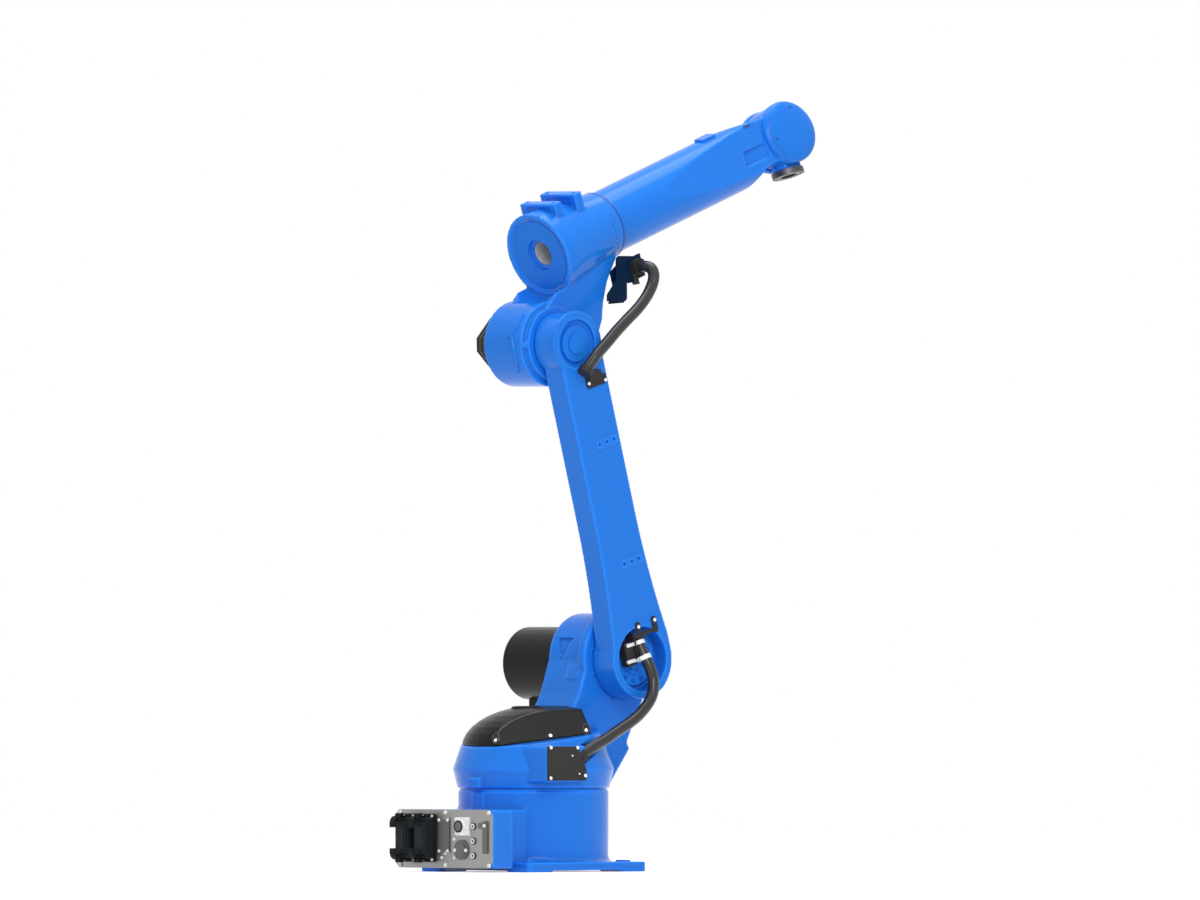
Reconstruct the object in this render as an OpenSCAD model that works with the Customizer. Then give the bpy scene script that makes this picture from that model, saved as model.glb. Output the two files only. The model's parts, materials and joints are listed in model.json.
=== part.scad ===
// Six-axis industrial robot arm on a floor pedestal.
// X points forward, Y to the robot's left, Z up. The origin lies on the floor under the first axis.

/* [Pose] */
// Backward lean of the lower arm from upright, degrees
arm_lean = 15.85; // [5:0.05:25]
// Upward pitch of the forearm, degrees
forearm_pitch = 20.1; // [5:0.1:30]
// Roll of the wrist about the forearm, right side up, degrees
wrist_roll = 18; // [0:1:24]
// Downward bend of the tool away from the forearm, degrees
wrist_bend = 103; // [60:1:110]

/* [Base] */
// Radius of the round pedestal
base_r = 180; // [160:1:185]
// Height of the pedestal's top face
base_h = 195; // [175:1:230]
// Height of the foot plate's top face
plate_h = 24; // [18:1:40]
// Corner radius of the foot plate
plate_corner_r = 12; // [6:1:20]
// Width of each square foot pad
pad_w = 82; // [70:1:95]
// Height of the foot pads under the plate
pad_h = 4; // [2:0.5:8]
// Spacing of the four anchor holes, both ways
bolt_pitch = 304; // [296:1:330]
// Diameter of an anchor hole
bolt_hole_d = 18; // [14:1:22]
// Fillet where the pedestal meets the plate
base_fillet = 14; // [4:1:20]
// Width of the neck that carries the connector box
neck_w = 244; // [200:1:260]
// Distance from the first axis to the back of the connector box
box_back = 289; // [270:1:320]
// Depth of the connector box
box_d = 67; // [40:1:80]
// Width of the connector box
box_w = 338; // [320:1:380]
// Height of the connector box
box_h = 140; // [136:1:150]
// Height of the connector box above the floor
box_z = 10; // [8:1:20]

/* [Connector panel] */
// Thickness of the panel
panel_t = 4; // [2:0.5:8]
// Corner chamfer of the panel
panel_chamfer = 12; // [4:1:20]
// Width of a heavy-duty connector housing
plug_w = 46; // [40:1:48]
// Height of a heavy-duty connector housing
plug_h = 98; // [90:1:104]
// Depth of a heavy-duty connector housing
plug_d = 28; // [24:1:40]
// Spacing of the two heavy-duty connectors
plug_pitch = 66; // [62:1:72]
// Thickness of the connector flanges and blank covers
cover_t = 4; // [2:0.5:6]
// Reach of a locking lever beyond the panel
lever_reach = 52; // [48:1:60]
// Thickness of a locking lever
lever_t = 4; // [3:0.5:5]

/* [Turret] */
// Gap between pedestal and turret
turret_gap = 5; // [3:0.5:10]
// Radius at the turret's lower edge
turret_foot_r = 182; // [170:1:186]
// Radius at the turret's belt
turret_r = 193; // [187:1:200]
// Height of the belt above the turret's lower edge
belt_h = 46; // [30:1:60]
// Height of the rear seam above the turret's lower edge
seam_h = 99; // [85:1:110]
// Radius at the rear seam
seam_r = 174; // [165:1:180]
// Forward rise of the seam under the hood, degrees
seam_slope = 7.75; // [4:0.05:10]
// Forward offset of the shoulder axis
shoulder_x = 220; // [200:1:240]
// Height of the shoulder axis above the floor
shoulder_z = 509; // [500:1:540]
// Radius of the shoulder housing
shoulder_r = 109; // [100:1:115]
// Radius of the shoulder's bolted flange
shoulder_flange_r = 121; // [116:1:130]
// Width of the shoulder's bolted flange
shoulder_flange_t = 28; // [15:1:35]
// Right half-width of the shoulder housing
shoulder_right = 73; // [65:1:85]
// Left half-width of the shoulder housing
shoulder_left = 67; // [60:1:80]
// Radius of the shoulder motor's can
motor_r = 88; // [80:1:92]
// Length of the shoulder motor's can
motor_l = 189; // [150:1:200]
// Drop of the shoulder motor below the shoulder axis
motor_drop = 12; // [0:1:15]
// Height of the rear hood above the rear seam
hood_h = 98; // [80:1:105]
// Forward position of the hood's front edge
hood_front = 54; // [30:1:60]
// Length of the cable box
cable_box_l = 125; // [110:1:140]
// Height of the cable box
cable_box_h = 88; // [80:1:95]
// Reach of the cable box to the robot's right
cable_box_y = 194; // [190:1:200]

/* [Lower arm] */
// Distance between shoulder and elbow axes
arm_l = 785; // [700:1:900]
// Thickness of the lower arm
arm_t = 72; // [60:1:80]
// Gap between the arm and the housings beside it
arm_gap = 4; // [3:0.5:6]
// Radius of the arm's foot round the shoulder axis
arm_foot_r = 96; // [88:1:100]
// Radius of the arm's head round the elbow axis
arm_head_r = 75; // [74:1:80]
// Front half-width of the arm
arm_front = 73; // [65:1:74]
// Rear half-width of the arm
arm_rear = 62; // [56:1:70]
// Relief of the arm's inner face between its hubs
arm_relief = 6; // [3:1:10]
// Height along the arm where the foot's flare starts
flare_start = 350; // [300:1:450]
// Radius of the flare's curve
flare_r = 2100; // [1800:10:2500]
// Radius of the pocket at the shoulder
foot_pocket_r = 77; // [72:1:80]
// Depth of the pocket at the shoulder
foot_pocket_d = 41; // [35:1:50]
// Radius of the pocket at the elbow
head_pocket_r = 58; // [50:1:62]
// Depth of the pocket at the elbow
head_pocket_d = 24; // [15:1:35]

/* [Elbow] */
// Radius of the elbow housing
elbow_r = 103; // [98:1:110]
// Half-width of the elbow housing
elbow_half_w = 70; // [65:1:72]
// Offset of the forearm axis above the elbow axis
roll_offset = 194; // [185:1:210]
// Distance from the elbow axis to the barrel's rear rim
barrel_rear = 82; // [75:1:95]
// Distance from the elbow axis to the barrel's front end
barrel_front = 293; // [280:1:310]
// Radius of the barrel's rear rim
barrel_r = 105; // [100:1:110]
// Radius of the barrel's front end
barrel_front_r = 84; // [80:1:90]
// Radius of the recess in the barrel's rear
rear_recess_r = 94; // [90:1:96]
// Depth of the recess in the barrel's rear
rear_recess_d = 11; // [8:1:15]
// Radius of the bore that cables pass through
cable_bore_r = 29; // [22:1:32]
// Depth of the bore that cables pass through
cable_bore_d = 150; // [100:1:200]
// Height of the feeder lugs above the forearm axis
lug_h = 118; // [112:1:125]
// Half-width of the feeder lugs
lug_half_w = 61; // [56:1:66]
// Side of the elbow motor's square body
elbow_motor_w = 112; // [100:1:120]
// Length of the elbow motor
elbow_motor_l = 68; // [55:1:80]

/* [Forearm] */
// Radius of the forearm tube
forearm_r = 78; // [72:1:82]
// Distance from the elbow axis to the wrist's bending axis, along the forearm
wrist_u = 919; // [850:1:1050]
// Gap between barrel and forearm
forearm_gap = 4; // [3:0.5:6]
// Half-width of the fork over its flat sides
fork_half_w = 46; // [42:1:52]
// Half-width of the slot between the fork's cheeks
slot_half_w = 33; // [28:1:36]
// Bulge of the side caps beyond the fork
cap_h = 22; // [16:1:30]
// Bulge of the left side cap
far_cap_h = 10; // [6:1:24]
// Radius of the fork's ends round the bending axis
fork_r = 77; // [74:1:82]

/* [Wrist] */
// Radius of the wrist's bending housing
wrist_r = 74; // [64:1:75]
// Distance from the bending axis to the flange's face
flange_reach = 98; // [92:1:120]
// Diameter of the tool flange
flange_d = 80; // [76:1:90]
// Thickness of the tool flange
flange_t = 14; // [10:1:16]
// Bolt circle diameter of the tool flange
flange_pcd = 63; // [56:1:64]
// Diameter of a tool bolt hole
flange_hole_d = 6.6; // [5:0.1:8]
// Diameter of the flange's centring bore
pilot_d = 40; // [30:1:44]
// Depth of the flange's centring bore
pilot_depth = 6; // [3:0.5:8]

/* [Hidden] */

$fn = 96;

// Colours
body_blue = [0.09, 0.38, 0.85];
cover_black = [0.12, 0.12, 0.12];
bare_steel = [0.62, 0.64, 0.66];
dark_steel = [0.25, 0.25, 0.25];
panel_grey = [0.78, 0.79, 0.8];
hose_black = [0.16, 0.16, 0.17];

// Running gap left between faces that turn on each other
run_gap = 0.3;
// A length larger than any piece
far = 1000;
// Small overlap that lets a cut pass through a face
cut = 1;

plate_w = bolt_pitch + pad_w;
turret_z = base_h + turret_gap;
seam_z = turret_z + seam_h;
arm_y = shoulder_right + arm_gap;
elbow_right = arm_y - arm_gap;
lug_us = [132, 201];

// Outlines

// Square with round corners, centred
module rounded_rect(w, h, r) {
    square([w, h - 2 * r], center = true);
    square([w - 2 * r, h], center = true);
    for (x = [-1, 1], y = [-1, 1])
        translate([x * (w / 2 - r), y * (h / 2 - r)]) circle(r);
}

// Rectangle with cut corners, centred
module chamfered_rect(w, h, c) {
    x = w / 2;
    y = h / 2;
    polygon([[c - x, -y], [x - c, -y], [x, c - y], [x, y - c], [x - c, y], [c - x, y], [-x, y - c], [-x, c - y]]);
}

// Point where a line from p touches the circle of radius r round c, on its right-hand side
function touch_point(p, c, r) =
    let (d = c - p, reach = norm(d), turn = atan2(d[1], d[0]) - asin(r / reach))
    p + sqrt(reach * reach - r * r) * [cos(turn), sin(turn)];

// Frames

// Extrudes an outline drawn in X and Z from y0 to y1
module along_y(y0, y1) translate([0, y1, 0]) rotate([90, 0, 0]) linear_extrude(y1 - y0) children();

// Turns a revolved form so that its axis points to +Y or to -Y
module axis_left() rotate([-90, 0, 0]) children();
module axis_right() rotate([90, 0, 0]) children();

// Outer face of the connector box: x to the robot's right, y up, z outwards
module on_panel() translate([-box_back, 0, 0]) rotate([90, 0, -90]) children();

module at_shoulder() translate([shoulder_x, 0, shoulder_z]) children();

// Lower arm: X to its front, Z from shoulder to elbow
module on_arm() at_shoulder() rotate([0, -arm_lean, 0]) children();

// Elbow: X along the forearm, Z towards the forearm's axis
module on_elbow() on_arm() translate([0, 0, arm_l]) rotate([0, arm_lean - forearm_pitch, 0]) children();

// Forearm axis: X along it
module on_forearm() on_elbow() translate([0, 0, roll_offset]) children();

// Wrist's bending axis along Y
module on_wrist() on_forearm() translate([wrist_u, 0, 0]) rotate([-wrist_roll, 0, 0]) children();

// Tool: Z along the tool axis
module on_tool() on_wrist() rotate([0, 90 + wrist_bend, 0]) children();

// Revolves an outline of [distance along X, radius] round the forearm axis
module round_x() rotate([0, 90, 0]) rotate_extrude() rotate(90) mirror([0, 1]) children();

// Tube of round section swept through a route's points
hose_r = 14;
hose_sides = 12;

function route_dir(p, i) =
    let (a = p[max(i - 1, 0)], b = p[min(i + 1, len(p) - 1)]) (b - a) / norm(b - a);

function route_ring(p, i) =
    let (t = route_dir(p, i), side = cross(t, [1, 0, -1]), s = side / norm(side), n = cross(s, t))
    [for (k = [0:hose_sides - 1]) p[i] + hose_r * (cos(k * 360 / hose_sides) * s + sin(k * 360 / hose_sides) * n)];

module hose(p) {
    rings = len(p);
    points = [for (i = [0:rings - 1]) each route_ring(p, i)];
    sides = [for (i = [0:rings - 2], k = [0:hose_sides - 1])
        let (a = i * hose_sides + k, b = i * hose_sides + (k + 1) % hose_sides)
        [a, a + hose_sides, b + hose_sides, b]];
    start = [[for (k = [0:hose_sides - 1]) k]];
    end = [[for (k = [hose_sides - 1:-1:0]) (rings - 1) * hose_sides + k]];
    polyhedron(points, concat(start, sides, end));
}

// Base

module base_casting() color(body_blue) difference() {
    union() {
        translate([0, 0, pad_h]) linear_extrude(plate_h - pad_h)
            rounded_rect(plate_w, plate_w, plate_corner_r);
        for (x = [-1, 1], y = [-1, 1])
            translate([x * bolt_pitch / 2, y * bolt_pitch / 2, 0])
                linear_extrude(plate_h) rounded_rect(pad_w, pad_w, plate_corner_r);
        rotate_extrude() {
            translate([0, pad_h]) square([base_r, base_h - pad_h]);
            difference() {
                translate([base_r - cut, plate_h - cut]) square(base_fillet + cut);
                translate([base_r + base_fillet, plate_h + base_fillet]) circle(base_fillet);
            }
        }
        translate([-box_back, -neck_w / 2, box_z]) cube([box_back, neck_w, box_h]);
        translate([-box_back, -box_w / 2, box_z]) cube([box_d, box_w, box_h]);
        stop_rib();
    }
    for (x = [-1, 1], y = [-1, 1])
        translate([x * bolt_pitch / 2, y * bolt_pitch / 2, -cut])
            cylinder(h = plate_h + 2 * cut, d = bolt_hole_d);
}

// Rib behind the pedestal that carries the first axis's end stop
rib_w = 40;
rib_reach = 3;
rib_top = 6;

module stop_rib() translate([-base_r - rib_reach, -rib_w / 2, box_z + box_h - cut])
    cube([base_r, rib_w, base_h - rib_top - box_z - box_h + cut]);

// Slewing ring between pedestal and turret
ring_inset = 15;

module turntable_ring() color(dark_steel) translate([0, 0, base_h])
    cylinder(h = turret_gap - run_gap, r = turret_foot_r - ring_inset);

// Connector panel

panel_mid = box_z + box_h / 2;
plug_first = -117;
plug_mid = panel_mid + 2;
plug_flange = [6, 17];
plug_wall = 5;
plug_mouth = 3;

module connector_panel() color(panel_grey) on_panel() translate([0, panel_mid, 0])
    linear_extrude(panel_t) chamfered_rect(box_w, box_h, panel_chamfer);

module each_plug() for (i = [0, 1])
    on_panel() translate([plug_first + i * plug_pitch, plug_mid, panel_t]) children();

module power_connectors() color(bare_steel) each_plug() {
    linear_extrude(cover_t) rounded_rect(plug_w + plug_flange[0], plug_h + plug_flange[1], 4);
    difference() {
        linear_extrude(plug_d) rounded_rect(plug_w, plug_h, 6);
        translate([0, 0, plug_d - plug_mouth]) linear_extrude(plug_mouth + cut)
            rounded_rect(plug_w - 2 * plug_wall, plug_h - 2 * plug_wall, 4);
    }
}

// Locking levers above and below each housing, hooked inwards at their outer ends
lever_foot = 10;
hook_r = 18;
hook_l = 10;

module lever_outline() {
    turn = lever_reach - panel_t - hook_r;
    low = lever_t - hook_r;
    polygon(concat(
        [[lever_foot, 0], [lever_foot, lever_t]],
        [for (a = [90:-15:0]) [turn + hook_r * cos(a), low + hook_r * sin(a)]],
        [[turn + hook_r, low - hook_l], [turn + hook_r - lever_t, low - hook_l]],
        [for (a = [0:15:90]) [turn + (hook_r - lever_t) * cos(a), low + (hook_r - lever_t) * sin(a)]]
    ));
}

module connector_levers() color(bare_steel) each_plug() for (side = [0, 1])
    mirror([0, side, 0]) translate([-plug_w / 2, plug_h / 2, 0])
        rotate([90, 0, 90]) linear_extrude(plug_w) mirror([1, 0]) rotate(90) lever_outline();

// Positions on the panel, from its middle to the right and from the floor up
round_at = [54, 110];
disc_at = [64, 54];
window_at = [4, 88];
strip_at = [148, 84];
fittings_at = [105, 75];
fitting_pitch = 35;

module round_connector() color(dark_steel) on_panel() translate([round_at[0], round_at[1], panel_t]) {
    linear_extrude(cover_t) rounded_rect(36, 36, 4);
    cylinder(h = 22, r = 14);
    translate([0, 0, 10]) cylinder(h = 9, r = 16);
}

module window_cover() color(cover_black) on_panel() translate([window_at[0], window_at[1], panel_t])
    linear_extrude(cover_t) rounded_rect(36, 76, 3);

module strip_cover() color(cover_black) on_panel() translate([strip_at[0], strip_at[1], panel_t])
    linear_extrude(cover_t) rounded_rect(16, 78, 3);

module blank_disc() color(panel_grey) on_panel() translate([disc_at[0], disc_at[1], panel_t]) {
    cylinder(h = cover_t, r = 24);
    cylinder(h = cover_t + 2, r = 17);
}

module air_fittings() color(panel_grey) for (i = [-1:1])
    on_panel() translate([fittings_at[0], fittings_at[1] + i * fitting_pitch, panel_t]) {
        cylinder(h = 5, r = 9, $fn = 6);
        cylinder(h = 12, r = 7);
        cylinder(h = 18, r = 4);
    }

// Turret

// Everything above the slanted seam between turret and hood
module above_seam(rise = 0) translate([-seam_r, 0, seam_z + rise]) rotate([0, -seam_slope, 0])
    translate([-far / 2, -far / 2, 0]) cube(far);

// Height by which the drum's upper edge passes the seam at its rear
drum_lip = 3;

function seam_at(x) = seam_z + (x + seam_r) * tan(seam_slope);

// Front wedge of the turret under the shoulder
wedge_tip = [249, 293];
wedge_notch = [240, 309];
tower_rear = 20;

module tower_outline() {
    axis = [shoulder_x, shoulder_z];
    tip = touch_point(wedge_notch, axis, shoulder_r - run_gap);
    translate(axis) circle(shoulder_r);
    polygon([
        [tower_rear, turret_z], [turret_foot_r - 4, turret_z], wedge_tip, wedge_notch, tip, axis,
        [shoulder_x - shoulder_r, shoulder_z], [shoulder_x - 138, shoulder_z - 83],
        [tower_rear, seam_at(tower_rear) - 5]
    ]);
}

// Pad on the tower's rear slope
rear_pad = [[102.5, 494], [112, 494], [101, 463], [91.7, 463]];
// Three-cornered pocket in the shoulder housing's rear, as [across, up]
pocket_corners = [[47, 560], [-9, 560], [24, 502]];
pocket_d = 8;

module rear_pocket() difference() {
    rotate([90, 0, 90]) linear_extrude(shoulder_x) polygon(pocket_corners);
    at_shoulder() axis_left() cylinder(h = far, r = shoulder_r - pocket_d, center = true);
}

// Box on the turret's right side where the lower hose comes out
cable_box_x = -136;
cable_box_z = 15;

module cable_box() translate([cable_box_x, -cable_box_y, turret_z + cable_box_z])
    cube([cable_box_l, cable_box_y - 60, cable_box_h]);

// Moving stop over the pedestal's rib
stop_h = 25;

module turn_stop() translate([-turret_r - rib_reach, -rib_w / 2, turret_z])
    cube([turret_r, rib_w, stop_h]);

module turret_casting() color(body_blue) difference() {
    union() {
        difference() {
            rotate_extrude() polygon([
                [0, turret_z], [turret_foot_r, turret_z], [turret_r, turret_z + belt_h],
                [seam_r, seam_z + drum_lip], [seam_r - 11, seam_z + 32], [seam_r - 20, seam_z + 60], [0, seam_z + 60]
            ]);
            above_seam();
        }
        along_y(-shoulder_right, shoulder_left) tower_outline();
        at_shoulder() translate([0, -shoulder_right, 0]) axis_left()
            cylinder(h = shoulder_flange_t, r = shoulder_flange_r);
        cable_box();
        turn_stop();
        along_y(-57, -14) polygon(rear_pad);
    }
    rear_pocket();
    hose_collar(gland_seat(), lower_route[1], gland_l + run_gap + channel_l, gland_r + run_gap);
}

// Hood over the first axis's motor: a dome at the back drawn out to an arch in front of it
hood_step = 10;
hood_shape = 1.05;
hood_clear = 2;
hood_arch = [[157, 32], [117, 90], [60, 98]];

module hood_dome() rotate_extrude($fn = 64) polygon(concat(
    [[0, seam_z - hood_h / 2], [seam_r - hood_clear, seam_z - hood_h / 2]],
    [for (a = [0:hood_step:90])
        [(seam_r - hood_clear) * pow(cos(a), hood_shape), seam_z + hood_h * pow(sin(a), hood_shape)]]
));

module hood_front_arch() translate([hood_front - cut, 0, seam_z]) rotate([90, 0, 90]) linear_extrude(cut)
    polygon(concat(
        [[-hood_arch[0][0], -hood_h / 2], [hood_arch[0][0], -hood_h / 2]],
        [for (p = hood_arch) p],
        [for (i = [2:-1:0]) [-hood_arch[i][0], hood_arch[i][1]]]
    ));

// Flat facet that planes off the dome's right side: a point on it and its outward direction
facet_at = [-27, -76, 385];
facet_dir = [-0.40, -0.79, 0.46];

module hood_facet() translate(facet_at)
    rotate([0, acos(facet_dir[2] / norm(facet_dir)), atan2(facet_dir[1], facet_dir[0])])
        translate([-far / 2, -far / 2, 0]) cube(far);

module rear_hood() color(cover_black) difference() {
    intersection() {
        hull() {
            hood_dome();
            hood_front_arch();
        }
        above_seam();
        translate([-far / 2, -far / 2, 0]) cube([far / 2 + hood_front, far, far]);
    }
    hood_facet();
    along_y(-shoulder_right - hood_clear, shoulder_left + hood_clear) {
        translate([-hood_clear, 0]) tower_outline();
        tower_outline();
    }
}

cable_cover_t = 4;
cable_cover_cut = [28, 56];

module cable_box_cover() color(cover_black)
    along_y(-cable_box_y - cable_cover_t, -cable_box_y)
        translate([cable_box_x, turret_z + cable_box_z + 4]) difference() {
            square([cable_box_l, cable_box_h - 6]);
            polygon([
                [cable_box_l + cut, cable_box_h - 6 - cable_cover_cut[1]], [cable_box_l + cut, cable_box_h],
                [cable_box_l - cable_cover_cut[0] - cut, cable_box_h]
            ]);
        }

// Hose from the cable box to the pocket in the arm's foot; heights are shares of the way from the base's top
// to the shoulder axis
lower_path = [
    [-4, -178, 0.2771], [18, -181, 0.3153], [40, -183, 0.3535], [66, -185, 0.3917],
    [92, -186, 0.4363], [119, -186, 0.4777], [146, -186, 0.5223], [170, -185, 0.5669],
    [192, -184, 0.621], [209, -182, 0.672], [222, -179, 0.7261], [229, -176, 0.7803],
    [232, -172, 0.8376], [230, -168, 0.9013], [226, -162, 0.9586], [222, -155, 1.0096],
    [218, -147, 1.0669], [214, -138.5, 1.1338]
];
lower_route = [for (p = lower_path) [p[0], p[1], base_h + p[2] * (shoulder_z - base_h)]];
// Hose from the arm's head to the gland under the barrel, from the elbow axis
upper_path = [
    [14, -168, -59], [38, -168, -28], [62, -168, 2], [91, -168, 31], [124, -168, 58], [161, -167, 84],
    [195, -164, 112], [222, -160, 137], [239, -156, 157], [247, -149, 173], [248, -138, 183],
    [245, -122, 186], [245, -107.3, 186]
];
elbow_at = [shoulder_x - arm_l * sin(arm_lean), 0, shoulder_z + arm_l * cos(arm_lean)];
upper_route = [for (p = upper_path) elbow_at + p];

// Collar that grips a hose end, standing on a route's first or last ring or a gap off it
module hose_collar(at, towards, l, r, gap = 0) {
    d = towards - at;
    translate(at + gap * d / norm(d)) rotate([0, acos(d[2] / norm(d)), atan2(d[1], d[0])])
        cylinder(h = l, r = r);
}

gland_l = 16;
gland_r = 20;
// Length of the channel that the lower hose leaves through
channel_l = 60;

// Bottom of the gland's seat in the cable box
function gland_seat() =
    let (d = lower_route[1] - lower_route[0]) lower_route[0] - (gland_l + run_gap) * d / norm(d);

module lower_hose_gland() color(cover_black)
    hose_collar(lower_route[0], 2 * lower_route[0] - lower_route[1], gland_l, gland_r);

module lower_hose() color(hose_black) hose(lower_route);

motor_edge_r = 9;
motor_draft = 0.5;

module shoulder_motor_cover() color(cover_black)
    at_shoulder() translate([0, shoulder_left, -motor_drop]) axis_left()
    rotate_extrude() {
        polygon([
            [0, 0], [motor_r, 0], [motor_r - motor_draft, motor_l - motor_edge_r],
            [motor_r - motor_draft - motor_edge_r, motor_l], [0, motor_l]
        ]);
        translate([motor_r - motor_draft - motor_edge_r, motor_l - motor_edge_r]) circle(motor_edge_r);
    }

motor_plug = [34, 28, 18];

module shoulder_motor_plug() color(cover_black) at_shoulder()
    translate([-motor_plug[0] / 2, shoulder_left + motor_l - 22 - motor_plug[1], -motor_drop - motor_r - motor_plug[2]])
        difference() {
            cube(motor_plug + [0, 0, 10]);
            translate([motor_plug[0] / 2, -cut, motor_r + motor_plug[2]]) axis_left()
                cylinder(h = motor_plug[1] + 2 * cut, r = motor_r);
        }

module shoulder_reducer() color(dark_steel) at_shoulder() translate([0, -arm_y + run_gap, 0]) axis_left()
    cylinder(h = arm_gap - run_gap, r = arm_foot_r - 12);

// Lower arm

arm_out = arm_y + arm_t;

module arm_flank(side, half_w) mirror([side, 0]) {
    translate([half_w + flare_r, flare_start]) circle(flare_r, $fn = 720);
    translate([half_w, flare_start]) square([far, arm_l]);
}

module arm_outline() {
    circle(arm_foot_r);
    translate([0, arm_l]) circle(arm_head_r);
    difference() {
        translate([-arm_foot_r, 0]) square([2 * arm_foot_r, arm_l]);
        arm_flank(0, arm_front);
        arm_flank(1, arm_rear);
    }
}

// Raised pads with three tapped holes each, for clips
pad_at = [29, 235, 533];
clip_pad = [69, 22, 2];
clip_hole_r = 4;
clip_hole_pitch = 24;
clip_hole_d = 14;

module on_arm_face() on_arm() translate([0, -arm_out, 0]) axis_right() children();

module arm_pads() for (i = [1, 2])
    on_arm_face() translate([pad_at[0], pad_at[i], -cut])
        linear_extrude(clip_pad[2] + cut) rounded_rect(clip_pad[0], clip_pad[1], 5);

module arm_pad_holes() for (i = [1, 2], k = [-1:1])
    on_arm_face() translate([pad_at[0] + k * clip_hole_pitch, pad_at[i], -clip_hole_d])
        cylinder(h = clip_hole_d + clip_pad[2] + cut, r = clip_hole_r);

module lower_arm_casting() color(body_blue) difference() {
    union() {
        on_arm() along_y(-arm_out, -arm_y - arm_relief) arm_outline();
        on_arm() along_y(-arm_out, -arm_y) {
            circle(arm_foot_r);
            translate([0, arm_l]) circle(arm_head_r);
        }
        arm_pads();
    }
    on_arm_face() translate([0, 0, -foot_pocket_d]) cylinder(h = foot_pocket_d + cut, r = foot_pocket_r);
    on_arm_face() translate([0, arm_l, -head_pocket_d]) cylinder(h = head_pocket_d + cut, r = head_pocket_r);
    arm_pad_holes();
}

hub_t = 8;

module shoulder_hub() color(body_blue) on_arm_face() translate([0, 0, -foot_pocket_d]) difference() {
    union() {
        cylinder(h = hub_t, r = foot_pocket_r - 14);
        cylinder(h = hub_t + 4, r = foot_pocket_r - 40);
    }
    translate([0, 0, hub_t - 2]) cylinder(h = far, r = 12);
}

module elbow_hub() color(body_blue) on_arm_face() translate([0, arm_l, -head_pocket_d]) {
    cylinder(h = head_pocket_d - 6, r = head_pocket_r - 14);
    cylinder(h = head_pocket_d - 2, r = head_pocket_r - 34);
}

// Sheet bracket over the foot's pocket: two prongs, a bar between them, and a leg down to a clamp block
sheet_t = 3;
prong_w = 15;
prong_xs = [4, 58];
prong_top = 90;
prong_l = 40;
bar_h = 9;
leg_x = -17;
leg_z = [2, 68];
block = [30, 58, 22];
block_at = [-46, -8];
block_sink = 4;

module lower_hose_bracket() color(cover_black) {
    on_arm_face() {
        for (x = prong_xs)
            translate([x, prong_top - prong_l / 2, 0]) linear_extrude(sheet_t)
                rounded_rect(prong_w, prong_l, prong_w / 2 - 0.5);
        translate([leg_x, prong_top - prong_l + 4, 0])
            cube([prong_xs[1] - leg_x, bar_h, sheet_t]);
        translate([leg_x, leg_z[0], -block_sink - block[2]])
            cube([sheet_t, leg_z[1] - leg_z[0], block[2] + block_sink + sheet_t]);
        translate([block_at[0], block_at[1], -block_sink - block[2]]) cube(block);
    }
    lower_hose_clamp();
}

// Clamp on that bracket that grips the lower hose's end
module lower_hose_clamp() {
    last = len(lower_route) - 1;
    hose_collar(
        lower_route[last], 2 * lower_route[last] - lower_route[last - 1], gland_l - 4, gland_r - 3, run_gap
    );
}

// T-shaped bracket on the arm's head that starts the upper hose
tee_at = [34, -102];
tee = [66, 24];
stem = [20, 46];

module upper_hose_bracket() color(cover_black) {
    on_arm_face() translate([tee_at[0], arm_l + tee_at[1], 0]) linear_extrude(sheet_t) {
        rounded_rect(tee[0], tee[1], 6);
        translate([-tee[0] / 2, 0]) square(stem);
    }
    hose_collar(upper_route[0], 2 * upper_route[0] - upper_route[1], gland_l, gland_r - 2, run_gap);
}

// Elbow

elbow_step_r = 89;
elbow_step_t = 12;
// Length of the scoop under the barrel's rear rim
scoop_l = 80;
neck_front = [[263, 128], [214, 82], [185, 40], [166, 0], [120, -55]];

module elbow_casting() color(body_blue) difference() {
    union() {
        on_elbow() along_y(-elbow_right + elbow_step_t, elbow_half_w) circle(elbow_r);
        on_elbow() along_y(-elbow_right, elbow_half_w) circle(elbow_step_r);
        on_elbow() along_y(-elbow_half_w, elbow_half_w) polygon(concat(
            [[30, -98], [-98, 30], [52, 116], [barrel_rear + 8, roll_offset], [263, roll_offset]], neck_front
        ));
        on_forearm() round_x() polygon([
            [barrel_rear, 0], [barrel_rear, barrel_r], [barrel_rear + 30, barrel_r],
            [barrel_front, barrel_front_r], [barrel_front, 0]
        ]);
        feeder_lugs();
    }
    on_forearm() translate([barrel_rear - scoop_l, 0, 0]) rotate([0, 90, 0])
        cylinder(h = scoop_l, r = barrel_r);
    on_forearm() translate([barrel_rear - cut, 0, 0]) rotate([0, 90, 0])
        cylinder(h = rear_recess_d + cut, r = rear_recess_r);
    on_forearm() translate([barrel_rear - cut, 0, 0]) rotate([0, 90, 0])
        cylinder(h = rear_recess_d + liner_seat_d + cut, r = liner_r);
    on_forearm() translate([barrel_rear - cut, 0, 0]) rotate([0, 90, 0])
        cylinder(h = rear_recess_d + cable_bore_d + cut, r = cable_bore_r);
}

// Lugs on the barrel's top that carry a feeder
lug_l = 25;
lug_leg = 22;
lug_plate = 9;
lug_web_d = 8;
lug_hole_r = 5;
lug_hole_y = 46;
lug_hole_d = 24;

module feeder_lugs() for (u = lug_us) on_forearm() translate([u - lug_l / 2, 0, 0]) difference() {
    translate([0, -lug_half_w, 0]) cube([lug_l, 2 * lug_half_w, lug_h]);
    for (u = [-cut, lug_l - lug_web_d]) translate([u, lug_leg - lug_half_w, 0])
        cube([lug_web_d + cut, 2 * (lug_half_w - lug_leg), lug_h - lug_plate]);
    for (y = [-1, 1]) translate([lug_l / 2, y * lug_hole_y, lug_h - lug_hole_d])
        cylinder(h = lug_hole_d + cut, r = lug_hole_r);
}

liner_r = 39;
liner_seat_d = 24;

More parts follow.
